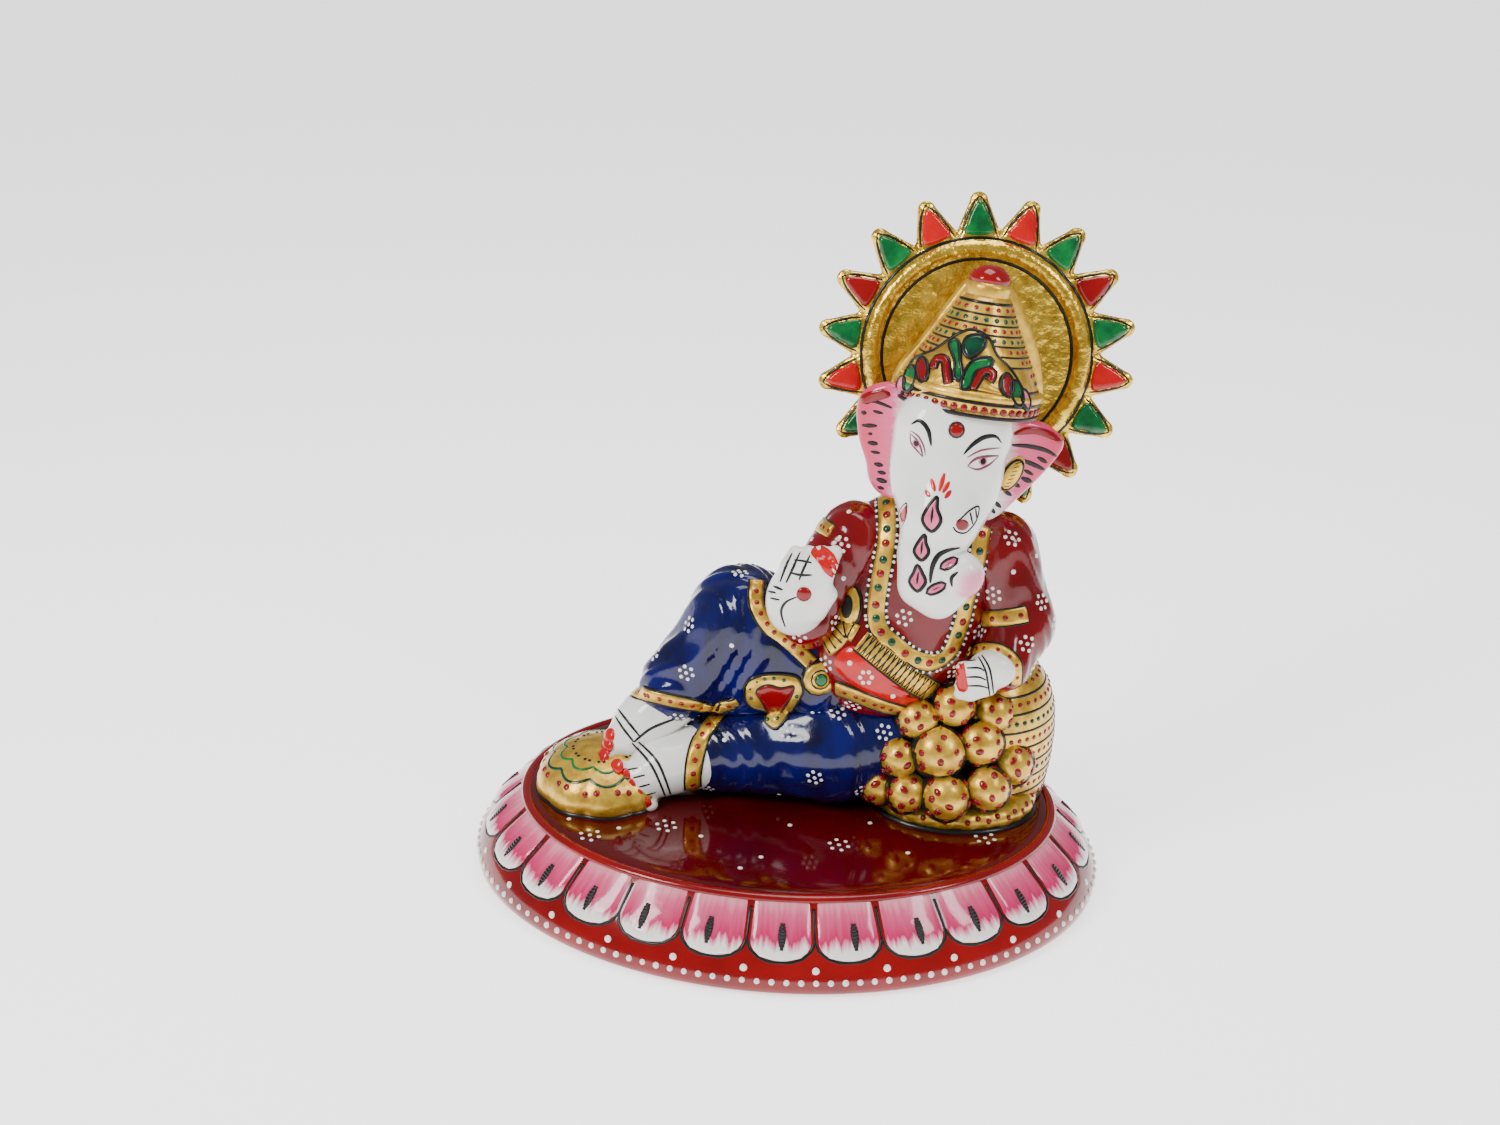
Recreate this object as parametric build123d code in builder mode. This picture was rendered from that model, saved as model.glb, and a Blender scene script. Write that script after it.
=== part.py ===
"""Reclining Ganesha idol on an oval lotus plinth: painted metal castings screwed and soldered together.

Frame: millimetres, +Z up, +X to the viewer's right, -Y towards the viewer. The origin is the centre of the
felt pad's underside. Left and right in the names are the figure's own.
"""
import math
import os

from build123d import *

os.makedirs("parts", exist_ok=True)

# Plinth: an oval, hollow casting
FOOT_RX, FOOT_RY = 90.0, 68.0
DECK_RX, DECK_RY = 74.6, 52.8
DECK_Z = 22.0
RIM_Z = 0.8
WALL = 4.0
FELT_T = 1.5
COVER_T = 2.0
REBATE_RX, REBATE_RY = FOOT_RX - WALL, FOOT_RY - WALL
CAVITY_TOP_Z = DECK_Z - WALL

# Screws that hold the castings on the plinth
SCREW_R = 2.0
SCREW_HEAD_R = 3.6
SCREW_HEAD_H = 2.4
WASHER_R, WASHER_T = 4.6, 0.8
SCREW_BITE = 7.0
SCREW_SPOTS = [(-53.0, -3.0), (4.0, 0.0), (48.0, -2.0), (60.0, 14.0)]

# Halo
HALO_CENTRE = Vector(45.5, 24.0, 147.0)
HALO_LEAN = 12.0
HALO_ROLL = -2.5
HALO_DISC_R = 31.0
HALO_T = 3.0
RING_R, RING_SECTION_R = 28.5, 2.6
RAYS = 18
RAY_ROOT_R, RAY_TIP_R = 29.0, 43.0
RAY_HALF_W, RAY_TIP_HALF_W = 6.6, 2.2
RAY_T = 4.5
HALO_SCREW_R, HALO_SCREW_LENGTH = 1.5, 12.0
HALO_SCREW_HEAD_R, HALO_SCREW_HEAD_H = 2.8, 2.0

# A limb's knobs are a little thicker than the runs that meet in them
KNOB_SHARE = 1.04

# Head and crown
HEAD_CENTRE = (40.0, -2.0, 130.0)
HEAD_RADII = (16.0, 15.0, 19.0)
CROWN_BASE = Vector(42.0, 2.0, 139.0)
CROWN_TIP = Vector(45.5, 7.0, 170.0)


def limb_part(joints):
    """A bent limb: joints is a list of (centre, radius), each a round knob, and neighbours are joined by tapered runs."""
    with BuildPart() as limb:
        for centre, radius in joints:
            with Locations(centre):
                Sphere(radius * KNOB_SHARE)
        for (a, ra), (b, rb) in zip(joints, joints[1:]):
            start, along = Vector(*a), Vector(*b) - Vector(*a)
            with Locations(Plane(origin=start, z_dir=along).location):
                Cone(ra, rb, along.length, align=(Align.CENTER, Align.CENTER, Align.MIN))
    return limb.part

def ellipsoid(centre, radii, tilt=(0, 0, 0)):
    """A solid ellipsoid, tilted and then moved to its centre."""
    with BuildPart() as ball:
        Sphere(1.0)
        scale(by=radii)
    return ball.part.moved(Location(centre, tilt))


def oval_loft(sections):
    """A solid of straight-sided bands between ovals, each (z, x radius, y radius)."""
    with BuildPart() as body:
        for z, rx, ry in sections:
            with BuildSketch(Plane.XY.offset(z)):
                Ellipse(rx, ry)
        loft(ruled=True)
    return body.part


def screw_holes():
    """The clearance and tapped holes of the plinth's screws."""
    with BuildPart() as holes:
        with BuildSketch(Plane.XY.offset(CAVITY_TOP_Z - 1.0)):
            with Locations(*SCREW_SPOTS):
                Circle(SCREW_R)
        extrude(amount=WALL + 1.0 + SCREW_BITE)
    return holes.part


def save(part, name):
    """Labels a finished piece and writes its STEP file."""
    part.label = name
    if not part.is_valid:
        print("not valid:", name)
    export_step(part, f"parts/{name}.step")


HOLES = screw_holes()
BELOW_DECK = Location((0, 0, DECK_Z - 50.0))
with BuildPart() as ground:
    with Locations(BELOW_DECK):
        Box(300, 300, 100)

# Plinth, its cover and its felt
outer = oval_loft([
    (RIM_Z, FOOT_RX - 0.6, FOOT_RY - 0.6),
    (2.2, FOOT_RX, FOOT_RY),
    (5.0, FOOT_RX, FOOT_RY),
    (9.0, FOOT_RX - 3.0, FOOT_RY - 3.0),
    (15.0, FOOT_RX - 7.6, FOOT_RY - 7.6),
    (20.0, DECK_RX + 2.4, DECK_RY + 2.4),
    (DECK_Z, DECK_RX, DECK_RY),
])
cavity = oval_loft([
    (FELT_T + COVER_T, REBATE_RX - 4.0, REBATE_RY - 4.0),
    (CAVITY_TOP_Z, DECK_RX - WALL, DECK_RY - WALL),
])
rebate = oval_loft([(0.0, REBATE_RX, REBATE_RY), (FELT_T + COVER_T, REBATE_RX, REBATE_RY)])
save(outer - cavity - rebate - HOLES, "plinth")

with BuildPart() as base_cover:
    with BuildSketch(Plane.XY.offset(FELT_T)):
        Ellipse(REBATE_RX, REBATE_RY)
    extrude(amount=COVER_T)
save(base_cover.part, "base_cover")

with BuildPart() as felt_pad:
    with BuildSketch():
        Ellipse(REBATE_RX - 1.0, REBATE_RY - 1.0)
    extrude(amount=FELT_T)
save(felt_pad.part, "felt_pad")

with BuildPart() as plinth_screws:
    with BuildSketch(Plane.XY.offset(CAVITY_TOP_Z - WASHER_T - SCREW_HEAD_H)) as heads:
        with Locations(*SCREW_SPOTS):
            Circle(SCREW_HEAD_R)
    extrude(amount=SCREW_HEAD_H)
    with BuildSketch(Plane.XY.offset(CAVITY_TOP_Z - WASHER_T)) as shanks:
        with Locations(*SCREW_SPOTS):
            Circle(SCREW_R)
    extrude(amount=WASHER_T + WALL + SCREW_BITE)
    with BuildSketch(Plane.XY.offset(CAVITY_TOP_Z - WASHER_T - SCREW_HEAD_H)) as slots:
        with Locations(*SCREW_SPOTS):
            Rectangle(2 * SCREW_HEAD_R, 1.0)
    extrude(amount=1.1, mode=Mode.SUBTRACT)
save(plinth_screws.part, "plinth_screws")

with BuildPart() as plinth_washers:
    with BuildSketch(Plane.XY.offset(CAVITY_TOP_Z - WASHER_T)):
        with Locations(*SCREW_SPOTS):
            Circle(WASHER_R)
            Circle(SCREW_R, mode=Mode.SUBTRACT)
    extrude(amount=WASHER_T)
save(plinth_washers.part, "plinth_washers")

# Figure, from the deck upwards: each casting is cut where it meets the ones already placed
foot_cushion = ellipsoid((-53.0, -3.0, 24.0), (19.0, 19.0, 12.0)) - ground.part - HOLES
save(foot_cushion, "foot_cushion")

left_leg = limb_part([((-22.0, -1.0, 34.5), 12.5), ((14.0, 1.0, 38.0), 17.5), ((28.0, 3.0, 40.0), 15.0)])
left_leg = left_leg - ground.part - HOLES
save(left_leg, "left_leg")

with BuildPart() as barrel:
    with BuildSketch(Plane.XZ):
        with BuildLine():
            Polyline((0, DECK_Z), (17, DECK_Z))
            Spline((17, DECK_Z), (20.5, 40), (15.8, 60), tangents=[(0.55, 1), (-0.55, 1)])
            Line((15.8, 60), (9.5, 64))
            Polyline((9.5, 64), (0, 64), (0, DECK_Z))
        make_face()
    revolve(axis=Axis.Z)
bolster = barrel.part.moved(Location((55.0, 10.0, 0.0)))
bolster = bolster - left_leg - HOLES
save(bolster, "bolster")

SWEETS = [
    ((25.5, -11.0, 31.0), 5.0), ((33.0, -15.5, 32.0), 6.0), ((44.0, -17.5, 32.5), 7.0),
    ((55.5, -14.5, 34.0), 6.5), ((62.0, -7.0, 38.5), 6.5), ((30.5, -11.5, 41.0), 6.0),
    ((41.5, -13.0, 45.0), 7.5), ((52.0, -9.5, 46.5), 6.5), ((35.5, -9.0, 52.0), 6.0),
    ((44.0, -7.5, 56.0), 6.5), ((55.5, -5.0, 52.5), 6.0),
]
sweet_dish = ellipsoid((47.0, -1.0, 25.0), (24.0, 19.0, 8.0)) - ground.part - left_leg - bolster - HOLES
save(sweet_dish, "sweet_dish")
with BuildPart() as sweet_balls:
    for centre, radius in SWEETS:
        with Locations(centre):
            Sphere(radius)
sweet_heap = sweet_balls.part + ellipsoid((45.0, -2.0, 38.0), (16.0, 12.0, 18.0))
sweet_heap = sweet_heap - ground.part - left_leg - bolster - sweet_dish - HOLES
save(sweet_heap, "sweet_heap")

right_leg = limb_part([((-34.0, 2.0, 52.0), 10.5), ((-13.0, 5.0, 75.0), 13.5), ((8.0, 8.0, 56.0), 17.0)])
knee_cloth = ellipsoid((-10.0, 4.0, 59.0), (19.0, 10.0, 13.0), (0, -12, 0))
right_leg = right_leg + knee_cloth
right_leg = right_leg - left_leg - ground.part
save(right_leg, "right_leg")

left_foot = limb_part([((-25.0, -2.0, 33.0), 9.5), ((-38.5, -6.0, 31.0), 7.5)])
left_foot = left_foot - left_leg - foot_cushion - right_leg - ground.part
save(left_foot, "left_foot")
right_foot = limb_part([((-34.0, 3.0, 48.0), 9.0), ((-43.0, 2.5, 39.5), 7.5)])
right_foot = right_foot - right_leg - foot_cushion - left_foot - left_leg
save(right_foot, "right_foot")

torso = ellipsoid((30.0, 6.0, 78.0), (25.0, 18.0, 30.0), (0, 8, 0))
torso = torso + ellipsoid((36.0, 7.0, 98.0), (25.0, 14.0, 16.0)) + ellipsoid((20.0, 7.0, 58.0), (22.0, 16.0, 16.0))
torso = torso - left_leg - right_leg - bolster - sweet_heap
save(torso, "torso")

left_arm = limb_part([((56.0, 6.0, 97.0), 10.5), ((63.0, 1.0, 76.0), 9.0), ((57.0, -8.0, 70.0), 8.0)])
left_arm = left_arm - torso - bolster - sweet_heap
save(left_arm, "left_arm")
left_hand = limb_part([((56.0, -12.0, 70.0), 6.6), ((46.5, -15.0, 66.5), 5.5)])
left_hand = left_hand - left_arm - sweet_heap - torso - bolster
save(left_hand, "left_hand")

right_arm = limb_part([((16.0, 5.0, 99.0), 10.5), ((5.0, 0.0, 84.0), 8.5), ((3.0, -5.0, 78.0), 8.0)])
right_arm = right_arm - torso - right_leg
save(right_arm, "right_arm")
right_hand = ellipsoid((0.5, -13.6, 88.6), (9.3, 5.7, 12.2), (0, 11, 0))
right_hand = right_hand - right_arm - right_leg - torso
save(right_hand, "right_hand")

head = ellipsoid(HEAD_CENTRE, HEAD_RADII, (0, 6, 0))
trunk = limb_part([
    ((38.5, -10.0, 122.0), 10.5), ((36.0, -17.0, 108.0), 8.5), ((34.5, -20.0, 98.0), 6.6),
    ((38.0, -22.0, 94.5), 5.6), ((42.5, -22.0, 99.0), 5.0), ((42.0, -22.0, 103.0), 4.6),
])
head = head + trunk
head = head + limb_part([((39.5, 4.0, 122.0), 11.0), ((38.5, 6.0, 108.0), 9.0)])
head = head - torso
save(head, "head")


def ear(side, name, lean):
    """A fan-shaped ear, 3.4 mm thick, standing out from the head on one side (-1 or +1)."""
    with BuildPart() as blade:
        with BuildSketch(Plane.XZ) as outline:
            with BuildLine():
                Spline((0, 9), (6 * side, 15), (14 * side, 10), (12 * side, -6), (3 * side, -19), (0, -16))
                Line((0, -16), (0, 9))
            make_face()
        extrude(amount=1.7, both=True)
    placed = blade.part.moved(Location((HEAD_CENTRE[0] + 13.5 * side, 4.0, HEAD_CENTRE[2] - 1.0), (0, 6, lean)))
    placed = placed - head - torso
    save(placed, name)
    return placed


ears = [ear(-1, "right_ear", -14), ear(1, "left_ear", 14)]

for side, name in ((-1, "right_earring"), (1, "left_earring")):
    stud = ellipsoid((HEAD_CENTRE[0] + 15.4 * side, -0.4, HEAD_CENTRE[2] - 5.0 - side), (2.6, 2.2, 5.0), (0, 6, 0))
    stud = stud - head - ears[0] - ears[1]
    save(stud, name)

crown_axis = CROWN_TIP - CROWN_BASE
crown_plane = Plane(origin=CROWN_BASE, x_dir=(1, 0, 0), z_dir=crown_axis)
with BuildPart() as crown_shape:
    for height, radius in ((-2, 17.6), (4, 18.2), (13, 14.6), (22, 9.6), (28, 6.4)):
        with BuildSketch(crown_plane.offset(height)):
            Circle(radius)
    loft(ruled=True)
crown = crown_shape.part - head - ears[0] - ears[1]
with BuildPart() as finial_shape:
    for height, radius in ((28, 5.2), (31, 5.6), (35, 4.4), (37.5, 1.6)):
        with BuildSketch(crown_plane.offset(height)):
            Circle(radius)
    loft(ruled=True)
save(finial_shape.part, "crown_finial")

# Halo: a disc with a raised ring and rounded rays, and the screw that holds it to the crown's back
lean_up = Vector(0, math.sin(math.radians(HALO_LEAN)), math.cos(math.radians(HALO_LEAN)))
halo_front = Vector(0, -lean_up.Z, lean_up.Y)
halo_plane = Plane(origin=HALO_CENTRE, x_dir=(1, 0, 0), z_dir=halo_front)
with BuildPart() as halo_shape:
    with BuildSketch(halo_plane):
        Circle(HALO_DISC_R)
    extrude(amount=HALO_T)
    with BuildSketch(halo_plane):
        with PolarLocations(0, RAYS, start_angle=90 - HALO_ROLL):
            Polygon(
                (RAY_ROOT_R, -RAY_HALF_W), (RAY_TIP_R, -RAY_TIP_HALF_W),
                (RAY_TIP_R, RAY_TIP_HALF_W), (RAY_ROOT_R, RAY_HALF_W), align=None,
            )
    extrude(amount=RAY_T)
    with BuildSketch(Plane(origin=HALO_CENTRE, x_dir=(1, 0, 0), z_dir=-lean_up)) as ring_section:
        with Locations((RING_R, HALO_T)):
            Circle(RING_SECTION_R)
    revolve(ring_section.sketch, axis=Axis(HALO_CENTRE, halo_front))

screw_plane = Plane(origin=HALO_CENTRE, x_dir=(1, 0, 0), z_dir=halo_front)
with BuildPart() as halo_screw:
    with BuildSketch(screw_plane):
        Circle(HALO_SCREW_R)
    extrude(amount=HALO_SCREW_LENGTH)
    with BuildSketch(screw_plane):
        Circle(HALO_SCREW_HEAD_R)
    extrude(amount=-HALO_SCREW_HEAD_H)
    with BuildSketch(screw_plane.offset(-HALO_SCREW_HEAD_H)):
        Rectangle(2 * HALO_SCREW_HEAD_R, 0.8)
    extrude(amount=0.9, mode=Mode.SUBTRACT)
save(halo_screw.part, "halo_screw")

crown = crown - halo_shape.part - halo_screw.part
save(crown, "crown")
halo = halo_shape.part - halo_screw.part - torso - head - ears[0] - ears[1] - left_arm - right_arm
halo = Part() + halo.solids().sort_by(SortBy.VOLUME)[-1]
save(halo, "halo")
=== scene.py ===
import math
import random

import bpy
import numpy as np
from mathutils import Matrix, Vector
from mathutils.bvhtree import BVHTree


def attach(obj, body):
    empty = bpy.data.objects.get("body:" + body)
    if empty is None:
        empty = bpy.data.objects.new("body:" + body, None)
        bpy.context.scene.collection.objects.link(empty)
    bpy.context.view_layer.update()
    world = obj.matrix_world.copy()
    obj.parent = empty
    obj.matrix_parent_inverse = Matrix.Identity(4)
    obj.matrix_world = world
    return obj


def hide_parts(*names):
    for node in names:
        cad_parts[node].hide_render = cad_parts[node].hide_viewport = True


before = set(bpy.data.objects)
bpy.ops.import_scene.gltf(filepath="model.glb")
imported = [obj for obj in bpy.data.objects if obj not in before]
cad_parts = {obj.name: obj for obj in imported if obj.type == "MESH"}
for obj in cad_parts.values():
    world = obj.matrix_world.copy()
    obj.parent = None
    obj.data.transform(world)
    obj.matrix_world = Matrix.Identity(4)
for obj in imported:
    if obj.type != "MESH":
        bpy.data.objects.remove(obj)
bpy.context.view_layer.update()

MM = 0.001
rng = random.Random(11)

# The viewer's eye, and the plane that the painted faces are laid out on: u to the right and v up, through AIM
EYE = Vector((0, -425.9, 276.6))
AIM = Vector((-13.3, 0, 92.6))
ROLL = math.radians(2)
LENS, SENSOR = 40.8, 36
LOOK = (AIM - EYE).normalized()
LEVEL = LOOK.cross(Vector((0, 0, 1))).normalized()
RISE = LEVEL.cross(LOOK)
VIEW_RIGHT = math.cos(ROLL) * LEVEL + math.sin(ROLL) * RISE
VIEW_UP = -math.sin(ROLL) * LEVEL + math.cos(ROLL) * RISE

# Plinth
FOOT_RX, FOOT_RY = 90, 68
DECK_Z = 22
PETALS = 26
FOOT_BEADS = 130
PETAL_BELLY = 0.62  # the share of a petal's length where its tip starts to round
# Halo
HALO_CENTRE = Vector((45.5, 24, 147))
HALO_LEAN, HALO_ROLL = math.radians(12), math.radians(-2.5)
RING_R, RING_SECTION_R = 28.5, 2.5
RAYS = 18
DISC_R, DISH_R = 30.5, 27
RAY_TIP_R, RAY_ROOT_HALF_W, RAY_TIP_HALF_W = 41, 8.2, 2.5
# Head and crown
HEAD = Vector((40, -2, 130))
CROWN_BASE, CROWN_TIP = Vector((42, 2, 139)), Vector((45.5, 7, 170))
CROWN_PROFILE = [(-2, 17.6), (0, 18.4), (4, 18.6), (7, 17.6), (13, 14.8), (18, 12), (22, 9.8), (28, 6.8)]
# What stands on the deck
CUSHION, CUSHION_LOBES = (-53, -3), 9
DISH, DISH_RADII = (47, -1), (23.8, 18.8, 6.6)
BOLSTER = Vector((55, 10, 0))


# ---------------------------------------------------------------- materials
LACQUER, LACQUER_ROUGH = 0.55, 0.06
GRAIN_DEPTH = 0.0006


def new_material(name):
    """A material, its node tree and its shader."""
    material = bpy.data.materials.new(name)
    material.use_nodes = True
    return material, material.node_tree, material.node_tree.nodes["Principled BSDF"]


def noise_node(tree, scale, detail, vector):
    node = tree.nodes.new("ShaderNodeTexNoise")
    node.inputs["Scale"].default_value = scale
    node.inputs["Detail"].default_value = detail
    tree.links.new(vector, node.inputs["Vector"])
    return node


def ramp_node(tree, stops, factor):
    node = tree.nodes.new("ShaderNodeValToRGB")
    elements = node.color_ramp.elements
    while len(elements) < len(stops):
        elements.new(0.5)
    for element, (at, colour) in zip(elements, stops):
        element.position = at
        element.color = (*colour, 1)
    tree.links.new(factor, node.inputs["Fac"])
    return node


def enamel(name, light, deep, rough=0.16, metal=0, tone=70, stretch=(1, 1, 1), grain=900, bump=0.12,
           coat=LACQUER):
    """Hand-brushed lacquer: two tones mixed by noise, and a fine uneven surface under a clear coat."""
    material, tree, shader = new_material(name)
    place = tree.nodes.new("ShaderNodeTexCoord")
    mapping = tree.nodes.new("ShaderNodeMapping")
    mapping.inputs["Scale"].default_value = stretch
    tree.links.new(place.outputs["Object"], mapping.inputs["Vector"])
    tones = noise_node(tree, tone, 4, mapping.outputs["Vector"])
    colours = ramp_node(tree, [(0.34, deep), (0.66, light)], tones.outputs["Fac"])
    tree.links.new(colours.outputs["Color"], shader.inputs["Base Color"])
    finish_surface(tree, shader, mapping.outputs["Vector"], rough, metal, grain, bump, coat)
    return material


def zoned(name, stops, spread, bump=0.1):
    """Enamel whose colour follows the mesh's zone value, with the border broken up by brush streaks."""
    material, tree, shader = new_material(name)
    zone = tree.nodes.new("ShaderNodeAttribute")
    zone.attribute_name = "zone"
    brush = tree.nodes.new("ShaderNodeAttribute")
    brush.attribute_name = "brush"
    noise = noise_node(tree, 1, 3, brush.outputs["Vector"])
    shift = tree.nodes.new("ShaderNodeMath")
    shift.operation = "MULTIPLY_ADD"
    tree.links.new(noise.outputs["Fac"], shift.inputs[0])
    shift.inputs[1].default_value = spread
    shift.inputs[2].default_value = -spread / 2
    total = tree.nodes.new("ShaderNodeMath")
    total.operation = "ADD"
    tree.links.new(zone.outputs["Fac"], total.inputs[0])
    tree.links.new(shift.outputs["Value"], total.inputs[1])
    colours = ramp_node(tree, stops, total.outputs["Value"])
    tree.links.new(colours.outputs["Color"], shader.inputs["Base Color"])
    place = tree.nodes.new("ShaderNodeTexCoord")
    finish_surface(tree, shader, place.outputs["Object"], 0.18, 0, 500, bump, LACQUER)
    return material


def finish_surface(tree, shader, vector, rough, metal, grain, bump, coat):
    """A fine uneven surface under a clear coat."""
    surface = noise_node(tree, grain, 3, vector)
    normal = tree.nodes.new("ShaderNodeBump")
    normal.inputs["Strength"].default_value = bump
    normal.inputs["Distance"].default_value = GRAIN_DEPTH
    tree.links.new(surface.outputs["Fac"], normal.inputs["Height"])
    tree.links.new(normal.outputs["Normal"], shader.inputs["Normal"])
    shader.inputs["Roughness"].default_value = rough
    shader.inputs["Metallic"].default_value = metal
    shader.inputs["Specular IOR Level"].default_value = 0.5 if metal else 0.2
    shader.inputs["Coat Weight"].default_value = coat
    shader.inputs["Coat Roughness"].default_value = LACQUER_ROUGH


GOLD_LIGHT, GOLD_DEEP = (0.86, 0.55, 0.06), (0.52, 0.28, 0.02)
MATERIALS = {
    "gold": enamel("gold_paint", GOLD_LIGHT, GOLD_DEEP, rough=0.36, metal=0.72, tone=260, grain=420, bump=0.35,
                   coat=0.35),
    "hammered": enamel("hammered_gold", (0.92, 0.62, 0.06), (0.50, 0.28, 0.015), rough=0.24, metal=0.85,
                       tone=300, grain=330, bump=1, coat=0.35),
    "black": enamel("black_line", (0.004, 0.004, 0.004), (0.012, 0.012, 0.010), rough=0.35, coat=0.2),
    "white": enamel("white_enamel", (0.86, 0.86, 0.82), (0.80, 0.80, 0.75), tone=60, bump=0.06),
    "red": enamel("red_enamel", (0.26, 0.001, 0.003), (0.17, 0.0005, 0.002), tone=60, bump=0.10),
    "robe": enamel("robe_red", (0.20, 0.001, 0.004), (0.12, 0.0005, 0.002), tone=50, grain=260, bump=0.22),
    "bright_red": enamel("bright_red", (0.58, 0.003, 0.005), (0.42, 0.002, 0.003), tone=120),
    "maroon": enamel("deck_maroon", (0.10, 0.001, 0.002), (0.05, 0.0005, 0.001), tone=28, grain=160,
                     bump=0.15, rough=0.1),
    "crimson": enamel("foot_crimson", (0.26, 0.001, 0.003), (0.16, 0.0005, 0.002), tone=45, grain=200,
                      bump=0.15),
    "green": enamel("green_enamel", (0.004, 0.17, 0.035), (0.002, 0.07, 0.018), tone=200),
    "dark_green": enamel("dark_green", (0.002, 0.065, 0.026), (0.001, 0.03, 0.015), tone=200),
    "navy": enamel("navy_enamel", (0.0015, 0.003, 0.10), (0.0008, 0.0015, 0.022), tone=120,
                   stretch=(1, 1, 0.35), grain=330, bump=0.35),
    "pink": enamel("pink_enamel", (0.78, 0.19, 0.30), (0.60, 0.08, 0.18), tone=250),
    "mauve": enamel("mauve_line", (0.22, 0.05, 0.08), (0.14, 0.03, 0.06), tone=200),
    "petal": zoned("petal_enamel", [(0, (0.74, 0.27, 0.33)), (0.22, (0.66, 0.09, 0.20)),
                                    (0.62, (0.52, 0.012, 0.10)), (0.72, (0.80, 0.34, 0.44)),
                                    (0.8, (0.84, 0.82, 0.76))], 0.5),
    "ear": zoned("ear_enamel", [(0, (0.86, 0.84, 0.80)), (0.16, (0.82, 0.50, 0.56)), (0.34, (0.76, 0.09, 0.22)),
                                (1, (0.64, 0.02, 0.09))], 0.35),
    "head": zoned("head_enamel", [(0, (0.86, 0.86, 0.82)), (0.4, (0.85, 0.82, 0.79)),
                                  (0.75, (0.84, 0.38, 0.48)), (1, (0.80, 0.25, 0.38))], 0.25, bump=0.05),
}


# ---------------------------------------------------------------- meshes
SURFACES = {}


def make_piece(name, verts, faces, colours, slot, nodes=(), zone=None, brush=None, face_colours=None):
    """One piece of the object, from vertices in millimetres, riding on the root body."""
    mesh = bpy.data.meshes.new(name)
    verts = np.asarray(verts, float)
    mesh.from_pydata((verts * MM).tolist(), [], [list(map(int, f)) for f in faces])
    for colour in colours:
        mesh.materials.append(MATERIALS[colour])
    mesh.polygons.foreach_set("use_smooth", [True] * len(mesh.polygons))
    if face_colours is not None:
        mesh.polygons.foreach_set("material_index", face_colours)
    if zone is not None:
        mesh.attributes.new("zone", "FLOAT", "POINT").data.foreach_set("value",
                                                                       np.asarray(zone, np.float32))
        mesh.attributes.new("brush", "FLOAT_VECTOR", "POINT").data.foreach_set(
            "vector", np.asarray(brush, np.float32).ravel())
    mesh.update()
    obj = bpy.data.objects.new(name, mesh)
    bpy.context.scene.collection.objects.link(obj)
    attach(obj, "root")
    if nodes:
        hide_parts(*nodes)
    SURFACES[name] = (verts, faces)


def surface(*names):
    """One ray target from several pieces."""
    verts, faces, shift = [], [], 0
    for name in names:
        v, f = SURFACES[name]
        verts += [Vector(p) for p in v]
        faces += [[i + shift for i in face] for face in f]
        shift += len(v)
    return BVHTree.FromPolygons(verts, faces)


def turns(count):
    """Angles at even steps round a full turn."""
    return [2 * math.pi * k / count for k in range(count)]


def grid_faces(rows, cols, closed_cols=True):
    """Quads of a grid of rows by cols vertices, joined round the columns or not."""
    last = cols if closed_cols else cols - 1
    return [(r * cols + c, r * cols + (c + 1) % cols, (r + 1) * cols + (c + 1) % cols, (r + 1) * cols + c)
            for r in range(rows - 1) for c in range(last)]


# ---------------------------------------------------------------- solid modelling by distance fields
def ball(p, centre, radii, tilt=0):
    """Distance to an ellipsoid, tilted by an angle about Y."""
    q = p - np.array(centre, float)
    c, s = math.cos(math.radians(tilt)), math.sin(math.radians(tilt))
    q = np.stack([c * q[..., 0] - s * q[..., 2], q[..., 1], s * q[..., 0] + c * q[..., 2]], -1)
    r = np.array(radii, float) * np.ones(3)
    k0 = np.linalg.norm(q / r, axis=-1)
    k1 = np.linalg.norm(q / r ** 2, axis=-1)
    return k0 * (k0 - 1) / np.maximum(k1, 1e-9)


def join(a, b, blend):
    """Smooth union of two fields."""
    if a is None:
        return b
    h = np.clip(0.5 + 0.5 * (b - a) / blend, 0, 1)
    return b + (a - b) * h - blend * h * (1 - h)


def limb(p, joints, blend=4):
    """Distance to a bent limb through (centre, radius) joints."""
    d = None
    for (a, ra), (b, rb) in zip(joints, joints[1:]):
        a, ab = np.array(a, float), np.array(b, float) - np.array(a, float)
        t = np.clip(((p - a) @ ab) / (ab @ ab), 0, 1)
        d = join(d, np.linalg.norm(p - a - t[..., None] * ab, axis=-1) - (ra + t * (rb - ra)), blend)
    return d


def plate(p, outline, y, thick, edge, bend=0):
    """Distance to a rounded plate: an outline in XZ, standing at depth y and bent back towards its sides."""
    px, pz = p[:, 0, :, 0], p[:, 0, :, 2]
    points = np.array(curve(outline, 1.5, closed=True))
    nearest, inside = np.full(px.shape, 1e9), np.zeros(px.shape, bool)
    for (ax, az), (bx, bz) in zip(points, np.roll(points, -1, axis=0)):
        ex, ez = bx - ax, bz - az
        t = np.clip(((px - ax) * ex + (pz - az) * ez) / (ex * ex + ez * ez + 1e-9), 0, 1)
        nearest = np.minimum(nearest, np.hypot(px - ax - t * ex, pz - az - t * ez))
        crosses = ((az > pz) != (bz > pz)) & (px < (bx - ax) * (pz - az) / (bz - az + 1e-12) + ax)
        inside ^= crosses
    flat = np.where(inside, -nearest, nearest)[:, None, :] + edge
    middle = y + bend * (p[..., 0] - HEAD.x) ** 2
    across = np.abs(p[..., 1] - middle) - thick / 2 + edge
    return np.hypot(np.maximum(flat, 0), np.maximum(across, 0)) + np.minimum(np.maximum(flat, across),
                                                                             0) - edge


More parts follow.
